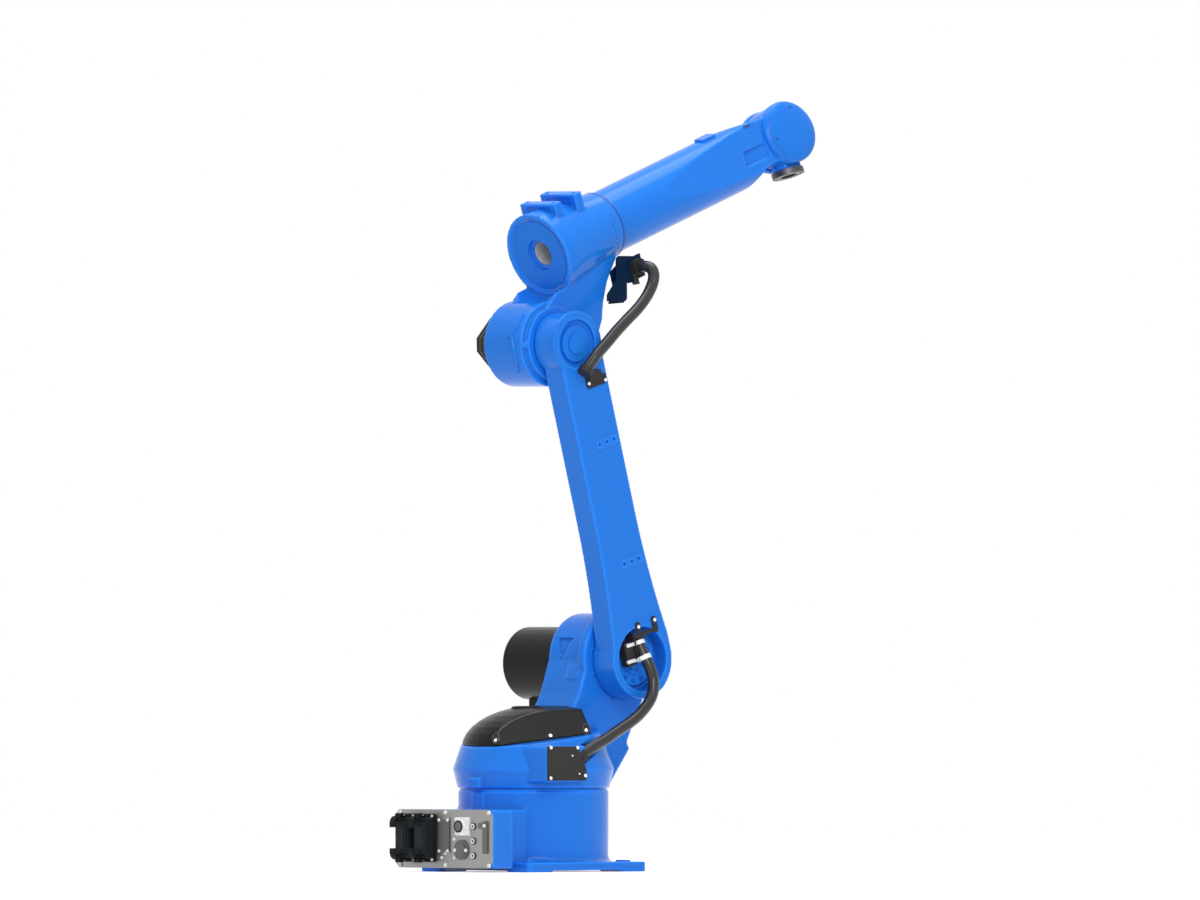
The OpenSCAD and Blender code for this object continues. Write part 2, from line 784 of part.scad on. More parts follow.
module barrel_rear_cover() color(body_blue) on_forearm() translate([barrel_rear + rear_recess_d, 0, 0])
    rotate([0, -90, 0]) difference() {
        cylinder(h = 5, r = rear_recess_r - 8);
        translate([0, 0, -cut]) cylinder(h = 5 + 2 * cut, r = liner_r);
    }

module cable_bore_liner() color(panel_grey)
    on_forearm() translate([barrel_rear + rear_recess_d + liner_seat_d, 0, 0]) rotate([0, -90, 0]) difference() {
        cylinder(h = 6, r = liner_r - run_gap);
        translate([0, 0, -cut]) cylinder(h = 6 + 2 * cut, r = cable_bore_r + 1);
    }

// Square finned motor on the elbow's left side, turned as it is bolted
elbow_motor_turn = 63;
motor_corner = 22.6;
fin_pitch = 12;
fin_gap = 4;
fin_depth = 5;

module elbow_motor() color(cover_black) on_elbow() translate([0, elbow_half_w, 0]) axis_left()
    rotate(elbow_motor_turn) difference() {
        linear_extrude(elbow_motor_l) chamfered_rect(elbow_motor_w, elbow_motor_w, motor_corner);
        for (z = [fin_pitch:fin_pitch:elbow_motor_l - fin_gap])
            translate([0, 0, z]) linear_extrude(fin_gap) difference() {
                square(2 * elbow_motor_w, center = true);
                chamfered_rect(elbow_motor_w - 2 * fin_depth, elbow_motor_w - 2 * fin_depth, motor_corner);
            }
    }

module elbow_reducer() color(dark_steel) on_elbow() translate([0, -arm_y + run_gap, 0]) axis_left()
    cylinder(h = arm_gap - run_gap, r = arm_head_r - 10);

// Sheet bracket on the elbow's right side: a waisted web, a step outwards and a plate for the gland
web_outline = [[196, 30], [244, 16], [252, 40], [240, 62], [262, 74], [262, 112], [226, 100], [224, 66]];
gland_plate = [58, 56];
gland_plate_y = 88;

module elbow_hose_bracket() color(cover_black) on_elbow() {
    along_y(-elbow_half_w - sheet_t, -elbow_half_w) polygon(web_outline);
    translate([262 - sheet_t, -gland_plate_y, 74]) cube([sheet_t, gland_plate_y - elbow_half_w, 38]);
    translate([262 - sheet_t, -gland_plate_y - sheet_t, 60]) cube([gland_plate[0], sheet_t, gland_plate[1]]);
}

module upper_hose_gland() color(cover_black) {
    last = len(upper_route) - 1;
    hose_collar(upper_route[last], 2 * upper_route[last] - upper_route[last - 1], gland_l, gland_r);
}

module upper_hose() color(hose_black) hose(upper_route);

module forearm_reducer() color(dark_steel) on_forearm() translate([barrel_front, 0, 0]) rotate([0, 90, 0])
    cylinder(h = forearm_gap - run_gap, r = barrel_front_r - 16);

// Forearm

forearm_start = barrel_front + forearm_gap;
slot_clear = 8;
flat_back = 75;
flat_l = 370;
flat_slope = atan((forearm_r - fork_half_w) / flat_l);

// Wedge that planes one side of the tube down to the fork's width
module side_flat(side) mirror([0, side, 0]) translate([-flat_back, fork_half_w - 0.5, 0]) {
    rotate([0, 0, 180 - flat_slope]) translate([0, -far, -far / 2]) cube(far);
    translate([0, 0, -far / 2]) cube(far);
}

// Slopes that lower the tube's top and lift its underside towards the fork, as [distance, height]
top_slope = [[-200, 79], [-70, 60]];
under_slope = [[-162, -79], [-107, -52]];
slot_back = 94;
// Recess in the right flat behind the wrist, and how far it lies inside the fork's width
wrist_recess = [[-172, -31], [-80, -31], [-80, 4], [-160, 4]];
recess_d = 3;
slot_edge = 46;

module fork_slopes() along_y(-far, far) {
    polygon([[top_slope[0][0], far], top_slope[0], top_slope[1], [cut, top_slope[1][1]], [cut, far]]);
    polygon([[under_slope[0][0], -far], under_slope[0], under_slope[1], [cut, under_slope[1][1]], [cut, -far]]);
}

module forearm_casting() color(body_blue) on_wrist() difference() {
    union() {
        difference() {
            translate([forearm_start - wrist_u, 0, 0]) rotate([0, 90, 0])
                cylinder(h = wrist_u - forearm_start, r = forearm_r);
            side_flat(0);
            side_flat(1);
            fork_slopes();
        }
        along_y(-fork_half_w, fork_half_w) circle(fork_r);
    }
    along_y(-slot_half_w, slot_half_w) {
        circle(wrist_r + slot_clear);
        translate([0, -far / 2]) square(far);
        translate([-slot_back, slot_edge]) square(slot_back + cut);
        translate([-slot_back, -slot_edge - slot_back]) square(slot_back + cut);
    }
    along_y(-far, recess_d - fork_half_w) polygon(wrist_recess);
}

// Domed covers on the outer sides of the fork
cap_step = 7.5;

module wrist_cap(h) rotate_extrude() polygon(concat(
    [[0, 0]],
    [for (a = [0:cap_step:90]) [fork_r * pow(cos(a), 0.7), h * pow(sin(a), 0.8)]]
));

module right_wrist_cap() color(body_blue) on_wrist() translate([0, -fork_half_w, 0]) axis_right() wrist_cap(cap_h);

module left_wrist_cap() color(body_blue) on_wrist() translate([0, fork_half_w, 0]) axis_left() wrist_cap(far_cap_h);

// Wrist

wrist_side_gap = 3;
snout_r = 36;

module wrist_housing() color(body_blue) {
    half = slot_half_w - wrist_side_gap;
    on_wrist() along_y(-half, half) circle(wrist_r);
    on_wrist() along_y(-slot_half_w + run_gap, slot_half_w - run_gap) circle(wrist_r - 20);
    on_tool() intersection() {
        cylinder(h = flange_reach - flange_t - run_gap, r = snout_r);
        translate([-far / 2, cut - half, 0]) cube([far, 2 * half - 2 * cut, far]);
    }
}

module tool_flange() color(dark_steel) on_tool() translate([0, 0, flange_reach - flange_t]) difference() {
    cylinder(h = flange_t, d = flange_d);
    translate([0, 0, flange_t - pilot_depth]) cylinder(h = pilot_depth + cut, d = pilot_d);
    for (i = [0:3]) rotate(45 + i * 90) translate([flange_pcd / 2, 0, -cut])
        cylinder(h = flange_t + 2 * cut, d = flange_hole_d);
}

base_casting();
turntable_ring();
connector_panel();
power_connectors();
connector_levers();
round_connector();
window_cover();
strip_cover();
blank_disc();
air_fittings();
turret_casting();
rear_hood();
cable_box_cover();
lower_hose_gland();
shoulder_motor_cover();
shoulder_motor_plug();
shoulder_reducer();
lower_arm_casting();
shoulder_hub();
elbow_hub();
lower_hose_bracket();
lower_hose();
upper_hose_bracket();
elbow_casting();
barrel_rear_cover();
cable_bore_liner();
elbow_motor();
elbow_reducer();
elbow_hose_bracket();
upper_hose_gland();
upper_hose();
forearm_reducer();
forearm_casting();
right_wrist_cap();
left_wrist_cap();
wrist_housing();
tool_flange();
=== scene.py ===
"""Dresses the robot arm: finishes, fasteners, hoses and small fittings, seen as in the photograph."""

import json
import math

import bmesh
import bpy
from mathutils import Matrix, Vector
from mathutils.bvhtree import BVHTree


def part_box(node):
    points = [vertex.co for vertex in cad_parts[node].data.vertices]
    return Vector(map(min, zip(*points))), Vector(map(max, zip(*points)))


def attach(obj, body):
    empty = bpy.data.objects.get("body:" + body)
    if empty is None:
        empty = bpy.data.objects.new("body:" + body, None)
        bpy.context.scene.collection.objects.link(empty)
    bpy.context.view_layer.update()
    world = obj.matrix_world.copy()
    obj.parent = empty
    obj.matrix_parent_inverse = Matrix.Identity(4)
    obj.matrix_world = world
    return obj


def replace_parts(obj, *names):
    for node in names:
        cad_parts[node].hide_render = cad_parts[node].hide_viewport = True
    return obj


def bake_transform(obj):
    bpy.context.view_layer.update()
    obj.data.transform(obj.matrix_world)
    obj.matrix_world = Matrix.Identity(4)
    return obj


MM = 0.001
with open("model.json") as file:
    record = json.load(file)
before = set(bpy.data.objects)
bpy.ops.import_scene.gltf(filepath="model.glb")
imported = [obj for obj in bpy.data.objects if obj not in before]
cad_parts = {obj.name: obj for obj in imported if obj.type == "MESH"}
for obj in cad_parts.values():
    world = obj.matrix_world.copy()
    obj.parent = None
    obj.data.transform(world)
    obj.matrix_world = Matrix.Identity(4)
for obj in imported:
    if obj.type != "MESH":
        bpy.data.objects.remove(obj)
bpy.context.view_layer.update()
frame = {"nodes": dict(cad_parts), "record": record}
nodes = frame["nodes"]
joints = {j["name"]: j for j in frame["record"]["behaviour"]["joints"]}

# Camera: the photograph is close to a parallel view, level and from the robot's right rear
# Width of the view, its middle to the right and up, and its depth, in metres
FRAME_W = 2.88
VIEW_MID = (0.1596, 1.0097)
VIEW_DEPTH = 0.15
VIEW_AZIMUTH = math.radians(-43)
LENS = 1200
SENSOR = 36
# Nearest and farthest that the camera sees, as shares of its distance
CLIP = (0.5, 1.5)
view_dir = Vector((-math.sin(VIEW_AZIMUTH), math.cos(VIEW_AZIMUTH), 0))
view_right = Vector((view_dir.y, -view_dir.x, 0))


def make_camera():
    data = bpy.data.cameras.new("camera")
    data.lens = LENS
    data.sensor_width = SENSOR
    camera = bpy.data.objects.new("camera", data)
    distance = FRAME_W * LENS / SENSOR
    target = view_right * VIEW_MID[0] + Vector((0, 0, VIEW_MID[1])) + view_dir * VIEW_DEPTH
    camera.location = target - view_dir * distance
    camera.rotation_mode = "QUATERNION"
    camera.rotation_quaternion = view_dir.to_track_quat("-Z", "Y")
    data.clip_start, data.clip_end = (distance * share for share in CLIP)
    bpy.context.scene.collection.objects.link(camera)
    bpy.context.scene.camera = camera


# Local frames
def local_frame(origin, x, y):
    """Frame at an origin in metres with its axes along x and y, which takes millimetres."""
    x, y = Vector(x).normalized(), Vector(y).normalized()
    turn = Matrix((x, y, x.cross(y))).transposed().to_4x4()
    return Matrix.Translation(Vector(origin)) @ turn @ Matrix.Scale(MM, 4)


shoulder = Vector(joints["shoulder_swing"]["pos_m"])
elbow = Vector(joints["elbow_lift"]["pos_m"])
wrist = Vector(joints["wrist_bend"]["pos_m"])
forearm_dir = Vector(joints["forearm_roll"]["axis"])
right = Vector((0, -1, 0))
upwards = Vector((0, 0, 1))
arm_dir = (elbow - shoulder).normalized()
arm_front = arm_dir.cross(right)
arm_l = (elbow - shoulder).length / MM
forearm_up = right.cross(forearm_dir)

# How far the arm's clip pads stand out, and y of the faces of the shoulder's flange and the gland's plate
PAD_RISE = 2 * MM
SHOULDER_FACE = -73 * MM
GLAND_FACE = -88.5 * MM
arm_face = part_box("lower_arm_casting")[0].y + PAD_RISE
panel_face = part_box("connector_panel")[0].x
bore_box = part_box("cable_bore_liner")

in_metres = Matrix()
in_mm = Matrix.Scale(MM, 4)
on_panel = local_frame((panel_face, 0, 0), right, upwards)
on_shoulder = local_frame((shoulder.x, SHOULDER_FACE, shoulder.z), arm_front, arm_dir)
on_arm = local_frame((shoulder.x, arm_face, shoulder.z), arm_front, arm_dir)
on_gland = local_frame((elbow.x, GLAND_FACE, elbow.z), (1, 0, 0), upwards)
on_bore = local_frame((bore_box[0] + bore_box[1]) / 2, right, forearm_up)
on_forearm_top = local_frame(wrist, forearm_dir, -right)

# Points of the photograph: size of one in mm, and where the origin of the floor falls
POINT = 2.4
POINT_ORIGIN = (533.5, 870.7)
# How far before the origin a line of sight starts, in metres
SIGHT_START = 4
surfaces = {}


def sight(point):
    """How far a point of the photograph lies to the right of the origin and above the floor, in metres."""
    return (point[0] - POINT_ORIGIN[0]) * POINT * MM, (POINT_ORIGIN[1] - point[1]) * POINT * MM


def hit(name, point):
    """Where the line of sight through a point of the photograph meets a node, and which way that faces."""
    if name not in surfaces:
        node = nodes[name]
        corners = [node.matrix_world @ v.co for v in node.data.vertices]
        faces = [p.vertices[:] for p in node.data.polygons]
        surfaces[name] = BVHTree.FromPolygons(corners, faces)
    across, rise = sight(point)
    start = view_right * across + Vector((0, 0, rise)) - view_dir * SIGHT_START
    place, normal, _, _ = surfaces[name].ray_cast(start, view_dir)
    return place, -normal if normal.dot(view_dir) > 0 else normal


def spot(name, point):
    """Local frame on a node at a point of the photograph, z outwards."""
    place, z = hit(name, point)
    x = (view_right - z * z.dot(view_right)).normalized()
    return local_frame(place, x, z.cross(x))


# Materials
def shader(name, color, roughness, metallic=0.0, specular=0.5):
    material = bpy.data.materials.new(name)
    material.use_nodes = True
    base = material.node_tree.nodes["Principled BSDF"]
    base.inputs["Base Color"].default_value = (*color, 1)
    base.inputs["Roughness"].default_value = roughness
    base.inputs["Metallic"].default_value = metallic
    base.inputs["Specular IOR Level"].default_value = specular
    return material, material.node_tree, base


def noise(tree, scale, detail, stretch=(1, 1, 1)):
    place = tree.nodes.new("ShaderNodeTexCoord")
    mapping = tree.nodes.new("ShaderNodeMapping")
    mapping.inputs["Scale"].default_value = stretch
    texture = tree.nodes.new("ShaderNodeTexNoise")
    texture.inputs["Scale"].default_value = scale
    texture.inputs["Detail"].default_value = detail
    tree.links.new(place.outputs["Object"], mapping.inputs["Vector"])
    tree.links.new(mapping.outputs["Vector"], texture.inputs["Vector"])
    return texture.outputs["Fac"]


def spread(tree, value, low, high):
    span = tree.nodes.new("ShaderNodeMapRange")
    span.inputs["To Min"].default_value = low
    span.inputs["To Max"].default_value = high
    tree.links.new(value, span.inputs["Value"])
    return span.outputs["Result"]


def vary_color(tree, base, value, color, change):
    ramp = tree.nodes.new("ShaderNodeValToRGB")
    for stop, share in zip(ramp.color_ramp.elements, (1 - change, 1 + change)):
        stop.color = (*[min(1, c * share) for c in color], 1)
    tree.links.new(value, ramp.inputs["Fac"])
    tree.links.new(ramp.outputs["Color"], base.inputs["Base Color"])


def add_bump(tree, base, value, strength, distance):
    bump = tree.nodes.new("ShaderNodeBump")
    bump.inputs["Strength"].default_value = strength
    bump.inputs["Distance"].default_value = distance
    tree.links.new(value, bump.inputs["Height"])
    tree.links.new(bump.outputs["Normal"], base.inputs["Normal"])


# Every finish: scale and detail of its blotches, detail of its grain, span of its gloss, depth of bumps
BLOTCHES = (6, 2)
GRAIN_DETAIL = 4
GLOSS_SPAN = (0.85, 1.15)
BUMP_DEPTH = 0.4 * MM


def finish(name, color, roughness, grain, metallic=0.0, specular=0.5, change=0.06, stretch=(1, 1, 1),
           bump=0.08):
    """A finish with slight changes of colour, gloss and surface at the scale of its grain."""
    material, tree, base = shader(name, color, roughness, metallic, specular)
    vary_color(tree, base, noise(tree, *BLOTCHES), color, change)
    fine = noise(tree, grain, GRAIN_DETAIL, stretch)
    gloss = spread(tree, fine, roughness * GLOSS_SPAN[0], roughness * GLOSS_SPAN[1])
    tree.links.new(gloss, base.inputs["Roughness"])
    add_bump(tree, base, fine, bump, BUMP_DEPTH)
    return material


# Painted highlight on a casting's edges and painted shade in its corners, from the pointiness of its mesh
EDGE_SPAN = (0.46, 0.54)
PAINTED_EDGE_LIGHT_AND_SHADE = (0.72, 1.30)


def paint_edge_highlight_and_corner_shade(material):
    tree = material.node_tree
    base = tree.nodes["Principled BSDF"]
    shape = tree.nodes.new("ShaderNodeNewGeometry")
    span = tree.nodes.new("ShaderNodeMapRange")
    for name, value in zip(("From Min", "From Max", "To Min", "To Max"), EDGE_SPAN + PAINTED_EDGE_LIGHT_AND_SHADE):
        span.inputs[name].default_value = value
    tree.links.new(shape.outputs["Pointiness"], span.inputs["Value"])
    scale = tree.nodes.new("ShaderNodeVectorMath")
    scale.operation = "SCALE"
    tree.links.new(base.inputs["Base Color"].links[0].from_socket, scale.inputs[0])
    tree.links.new(span.outputs["Result"], scale.inputs["Scale"])
    tree.links.new(scale.outputs["Vector"], base.inputs["Base Color"])
    return material


def grey(level):
    return (level, level, level)


BLUE = (0.013, 0.186, 0.730)
# Lighter blue: painted light for the shoulder hub against the shade deep in its pocket
BLUE_PAINTED_LIGHT = (0.014, 0.260, 0.960)
ENAMEL = {"roughness": 0.17, "grain": 260, "specular": 0.16, "change": 0.04, "bump": 0.03}
FLAT_ENAMEL = {"roughness": 0.40, "grain": 320, "specular": 0.12, "change": 0.04, "bump": 0.03}
# The brushed grain varies mostly up the panel
BRUSHED = (1, 1, 14)
paint = finish("blue_enamel", BLUE, **ENAMEL)
# Enamel of the castings, with painted highlight on their edges and painted shade in their corners
paint_cast_edge_lit = paint_edge_highlight_and_corner_shade(finish("blue_enamel_cast_painted_edge_light", BLUE, **ENAMEL))
paint_machined = finish("blue_enamel_flat", BLUE, **FLAT_ENAMEL)
paint_lightened_for_pocket_shade = finish("blue_enamel_painted_light_recess", BLUE_PAINTED_LIGHT, **FLAT_ENAMEL)
# Dark blue: the own colour of the forearm's reducer and the roll marks, and painted shade on the gap ring,
# the slot, the cap's seam and the cap screws
blue_dark_and_painted_shade = finish("blue_enamel_dark_and_painted_shade", (0.012, 0.070, 0.330), 0.5, grain=200)
black_shell = finish("black_moulding", grey(0.011), 0.26, grain=500, specular=0.12, bump=0.05)
# Lighter copy of the black moulding: painted highlight on the hood's lips and crease
black_painted_highlight = finish("black_moulding_painted_highlight", grey(0.055), 0.3, grain=500, specular=0.3, bump=0.05)
black_sheet = finish("black_sheet_steel", grey(0.026), 0.5, grain=420, specular=0.2)
navy_sheet = finish("dark_blue_sheet_steel", (0.003, 0.017, 0.050), 0.40, grain=420, specular=0.06,
                    bump=0.06)
black_connector = finish("black_connector_enamel", (0.012, 0.016, 0.018), 0.42, grain=380, specular=0.12)
black_lever = finish("black_lever_enamel", (0.006, 0.007, 0.008), 0.5, grain=380, specular=0.1)
# Near black for the hood's pockets: painted shade of their depth
black_painted_pocket_shade = finish("black_painted_recess_shade", grey(0.004), 0.7, grain=300)
grey_casting = finish("dark_grey_casting", (0.060, 0.057, 0.052), 0.5, grain=300, specular=0.2)
gunmetal = finish("grey_cover_sheet", (0.13, 0.13, 0.125), 0.5, grain=300, metallic=0.5)
# Grey of the bore's sleeve, raised well above its own tone: painted light against the shade inside the bore
grey_tube_painted_light = finish("grey_tube_painted_light", (0.56, 0.56, 0.55), 0.5, grain=200)
rubber = finish("hose_jacket", (0.028, 0.027, 0.026), 0.20, grain=240, specular=0.4, bump=0.05)
steel = finish("plated_steel", (0.80, 0.80, 0.79), 0.26, grain=300, metallic=1, bump=0.03)
zinc = finish("zinc_strap", grey(0.84), 0.45, grain=300, metallic=0.35, bump=0.03)
dark_steel = finish("oiled_steel", (0.085, 0.085, 0.088), 0.38, grain=200, metallic=0.8)
aluminium = finish("brushed_aluminium", (0.30, 0.30, 0.295), 0.42, grain=60, metallic=1, stretch=BRUSHED,
                   bump=0.06)
white_ring = finish("white_nylon", grey(0.80), 0.4, grain=200)
blue_ring = finish("blue_nylon", (0.010, 0.018, 0.20), 0.35, grain=200)

NODE_FINISH = {
    paint_cast_edge_lit: "base_casting turret_casting lower_arm_casting elbow_casting forearm_casting wrist_housing",
    paint: "right_wrist_cap left_wrist_cap turntable_ring",
    paint_machined: "elbow_hub barrel_rear_cover",
    # The shoulder hub gets the lighter enamel: painted light in its pocket
    paint_lightened_for_pocket_shade: "shoulder_hub",
    black_shell: "rear_hood shoulder_motor_cover shoulder_motor_plug",
    grey_casting: "elbow_motor",
    black_sheet: "cable_box_cover lower_hose_bracket upper_hose_bracket lower_hose_gland upper_hose_gland",
    navy_sheet: "elbow_hose_bracket",
    black_connector: "power_connectors round_connector",
    black_lever: "connector_levers",
    gunmetal: "window_cover strip_cover blank_disc cable_bore_liner",
    aluminium: "connector_panel",
    steel: "air_fittings",
    dark_steel: "shoulder_reducer elbow_reducer tool_flange",
    blue_dark_and_painted_shade: "forearm_reducer",
    rubber: "lower_hose upper_hose",
}
# Castings are rounded by a fine remesh that is then relaxed: size of its cells in mm, and steps
CAST = {
    "base_casting": (3.2, 3),
    "turret_casting": (3.2, 4),
    "lower_arm_casting": (2.8, 3),
    "elbow_casting": (2.6, 3),
    "forearm_casting": (2.6, 3),
    "wrist_housing": (2.2, 3),
    "rear_hood": (2.4, 4),
}
RELAX = 0.5
# Covers and plates get a fine rounded edge: its width in mm
EDGED = {
    0.7: "lower_hose_bracket upper_hose_bracket elbow_hose_bracket",
    0.8: "connector_panel window_cover strip_cover tool_flange",
    1.0: "connector_levers cable_box_cover blank_disc",
    1.5: "elbow_motor",
    1.6: "power_connectors",
    2.0: "shoulder_motor_plug",
}
EDGE_SEGMENTS = 2
SHARP = math.radians(32)


def dress_nodes():
    for material, names in NODE_FINISH.items():
        for name in names.split():
            mesh = nodes[name].data
            mesh.materials.clear()
            mesh.materials.append(material)
            mesh.shade_smooth()
            mesh.set_sharp_from_angle(angle=SHARP)
    for name, (cell, steps) in CAST.items():
        remesh = nodes[name].modifiers.new("cast", "REMESH")
        remesh.mode = "VOXEL"
        remesh.voxel_size = cell * MM
        remesh.use_smooth_shade = True
        relax = nodes[name].modifiers.new("relax", "SMOOTH")
        relax.factor = RELAX
        relax.iterations = steps
    for width, names in EDGED.items():
        for name in names.split():
            edge = nodes[name].modifiers.new("edge", "BEVEL")
            edge.width = width * MM
            edge.segments = EDGE_SEGMENTS
            edge.limit_method = "ANGLE"
            edge.angle_limit = SHARP
            edge.use_clamp_overlap = True


# Outlines and places
def shift(x, y, z=0):
    return Matrix.Translation(Vector((x, y, z)))


def turns(count):
    """Angles of one whole turn in equal steps."""
    return [2 * math.pi * i / count for i in range(count)]


def circle_of(count, r, start=0.0):
    return [(r * math.cos(start + a), r * math.sin(start + a)) for a in turns(count)]


CORNER_STEPS = 4


def rounded(w, h, r):
    """Outline of a rectangle with round corners, round its middle."""
    out = []
    x, y = w / 2 - r, h / 2 - r
    for cx, cy, start in ((x, y, 0), (-x, y, 90), (-x, -y, 180), (x, -y, 270)):
        for i in range(CORNER_STEPS + 1):
            a = math.radians(start + 90 * i / CORNER_STEPS)
            out.append((cx + r * math.cos(a), cy + r * math.sin(a)))
    return out


def square_ring(inner, outer, low, high):
    """Profile of a ring with a rectangular section."""
    return [(inner, low), (outer, low), (outer, high), (inner, high)]


# Ridge: section in shares of half its width and of its height; length of its steps in photograph points
RIDGE = [(-1, -0.6), (-0.82, 0.5), (-0.45, 0.95), (0.45, 0.95), (0.82, 0.5), (1, -0.6)]
RIDGE_STEP = 1.5
# Socket-head screw: its sides, its foot in mm, and shares of its height and radius
SCREW_SIDES = 24
SCREW_FOOT = -0.5
SCREW_SHOULDER = 0.8
SCREW_TOP_R = 0.86
SOCKET_R = 0.55
SOCKET_FLOOR = 0.45


class Piece:
    """Gathers simple forms, drawn in the millimetres of a local frame, into one mesh."""

    def __init__(self, place):
        self.mesh = bmesh.new()
        self.place = place

    def loft(self, rings, at=None, closed=False):
        """Skins rings of equal count; the first and last are capped unless the skin closes on itself."""
        place = self.place @ at if at else self.place
        made = [[self.mesh.verts.new(place @ Vector(p)) for p in ring] for ring in rings]
        following = made[1:] + made[:1] if closed else made[1:]
        for a, b in zip(made, following):
            for i in range(len(a)):
                j = (i + 1) % len(a)
                self.mesh.faces.new((a[i], a[j], b[j], b[i]))
        if not closed:
            self.mesh.faces.new(list(reversed(made[0])))
            self.mesh.faces.new(made[-1])

    def lathe(self, profile, at, sides, closed=False):
        """Revolves (radius, height) points round the local z axis."""
        rings = [[(x, y, z) for x, y in circle_of(sides, r)] for r, z in profile]
        self.loft(rings, at, closed)

    def prism(self, outline, z0, z1, at=None, edge=0.0):
        """Extrudes an outline, with its upper rim drawn in by the edge."""
        n = len(outline)
        cx, cy = sum(p[0] for p in outline) / n, sum(p[1] for p in outline) / n
        rings = [[(x, y, z0) for x, y in outline], [(x, y, z1 - edge) for x, y in outline]]
        if edge:
            inner = []
            for x, y in outline:
                reach = math.hypot(x - cx, y - cy) or 1
                inner.append((x - edge * (x - cx) / reach, y - edge * (y - cy) / reach, z1))
            rings.append(inner)
        self.loft(rings, at)

    def screw(self, at, r, h):
        """Socket-head screw: a chamfered head with a hexagon recess."""
        head = ((r, SCREW_FOOT), (r, h * SCREW_SHOULDER), (r * SCREW_TOP_R, h))
        rings = [[(x, y, z) for x, y in circle_of(SCREW_SIDES, radius)] for radius, z in head]
        flat = SOCKET_R * r * math.cos(math.pi / 6)
        socket = []
        for a in turns(SCREW_SIDES):
            reach = flat / math.cos(a % (math.pi / 3) - math.pi / 6)
            socket.append((reach * math.cos(a), reach * math.sin(a)))
        for z in (h, h * SOCKET_FLOOR):
            rings.append([(x, y, z) for x, y in socket])
        self.loft(rings, at)

    def ridge(self, name, path, w, h):
        """A rounded ridge on a node along points of the photograph; its frame is the world in metres."""
        steps = []
        for a, b in zip(path, path[1:]):
            count = max(2, round(math.dist(a, b) / RIDGE_STEP))
            for i in range(count):
                steps.append((a[0] + (b[0] - a[0]) * i / count, a[1] + (b[1] - a[1]) * i / count))
        hits = [hit(name, point) for point in steps + [path[-1]]]
        rings = []
        for i, (place, normal) in enumerate(hits):
            along = hits[min(i + 1, len(hits) - 1)][0] - hits[max(i - 1, 0)][0]
            side = along.cross(normal).normalized() * w * MM / 2
            rise = normal * h * MM
            rings.append([place + side * x + rise * y for x, y in RIDGE])
        self.loft(rings)

    def done(self, name, material, body):
        mesh = bpy.data.meshes.new(name)
        bmesh.ops.recalc_face_normals(self.mesh, faces=self.mesh.faces)
        self.mesh.to_mesh(mesh)
        self.mesh.free()
        mesh.materials.append(material)
        mesh.shade_smooth()
        mesh.set_sharp_from_angle(angle=SHARP)
        piece = bpy.data.objects.new(name, mesh)
        bpy.context.scene.collection.objects.link(piece)
        if body:
            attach(piece, body)
        return piece


def make_screws(rows, name, material, body):
    """Screws on nodes: rows of a node, points of the photograph, and their heads' radius and height."""
    piece = Piece(in_metres)
    for node, points, head in rows:
        for point in points:
            piece.screw(spot(node, point), *head)
    return piece.done(name, material, body)


def make_ridges(node, paths, size, name, material, body):
    """Ridges on a node along paths, all of one width and height."""
    piece = Piece(in_metres)
    for path in paths:
        piece.ridge(node, path, *size)
    return piece.done(name, material, body)


def make_ring(place, profile, sides, name, material, body, at=None):
    """A ring turned from a closed profile."""
    piece = Piece(place)
    piece.lathe(profile, at, sides, closed=True)
    return piece.done(name, material, body)


def make_plate(place, outline, span, edge, name, material, body, at=None):
    """A plate cut to an outline, between two heights."""
    piece = Piece(place)
    piece.prism(outline, *span, at, edge)
    return piece.done(name, material, body)


# Hoses: their routes in mm, the upper one's from the elbow axis
HOSE_R = 14 * MM
HOSE_SIDES = 28
ROUTE_STEPS = 6
LOWER_ROUTE = [
    (-4, -178, 282), (18, -181, 294), (40, -183, 306), (66, -185, 318), (92, -186, 332), (119, -186, 345),
    (146, -186, 359), (170, -185, 373), (192, -184, 390), (209, -182, 406), (222, -179, 423),
    (229, -176, 440), (232, -172, 458), (230, -168, 478), (226, -162, 496), (222, -155, 512),
    (218, -147, 530), (214, -138.5, 551),
]
UPPER_ROUTE = [Vector(p) + elbow / MM for p in (
    (14, -168, -59), (43, -168, -28), (78, -168, 2), (111, -168, 31), (145, -168, 58), (180, -167, 84),
    (211, -164, 112), (232, -160, 137), (243, -156, 157), (248, -149, 173), (248, -138, 183),
    (245, -122, 186), (245, -107.3, 186),
)]


def smooth_route(route):
    """Points along a curve through the route, in metres."""
    p = [Vector(q) * MM for q in route]
    p = [2 * p[0] - p[1]] + p + [2 * p[-1] - p[-2]]
    out = []
    for a, b, c, d in zip(p, p[1:], p[2:], p[3:]):
        for i in range(ROUTE_STEPS):
            t = i / ROUTE_STEPS
            out.append(0.5 * (2 * b + (c - a) * t + (2 * a - 5 * b + 4 * c - d) * t * t
                              + (3 * b - a - 3 * c + d) * t ** 3))
    return out + [p[-2]]


def hose(name, route):
    """Jacket of a hose that runs between two bodies, in place of its node; gives the points of its middle
    line.
    """
    points = smooth_route(route)
    piece = Piece(in_metres)
    rings = []
    side = None
    for i, p in enumerate(points):
        ahead = (points[min(i + 1, len(points) - 1)] - points[max(i - 1, 0)]).normalized()
        side = ahead.orthogonal() if side is None else side
        side = (side - ahead * side.dot(ahead)).normalized()
        up = ahead.cross(side)
        rings.append([p + HOSE_R * (math.cos(a) * side + math.sin(a) * up) for a in turns(HOSE_SIDES)])
    piece.loft(rings)
    made = piece.done(name + "_jacket", rubber, None)
    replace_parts(made, name)
    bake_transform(made)
    return points


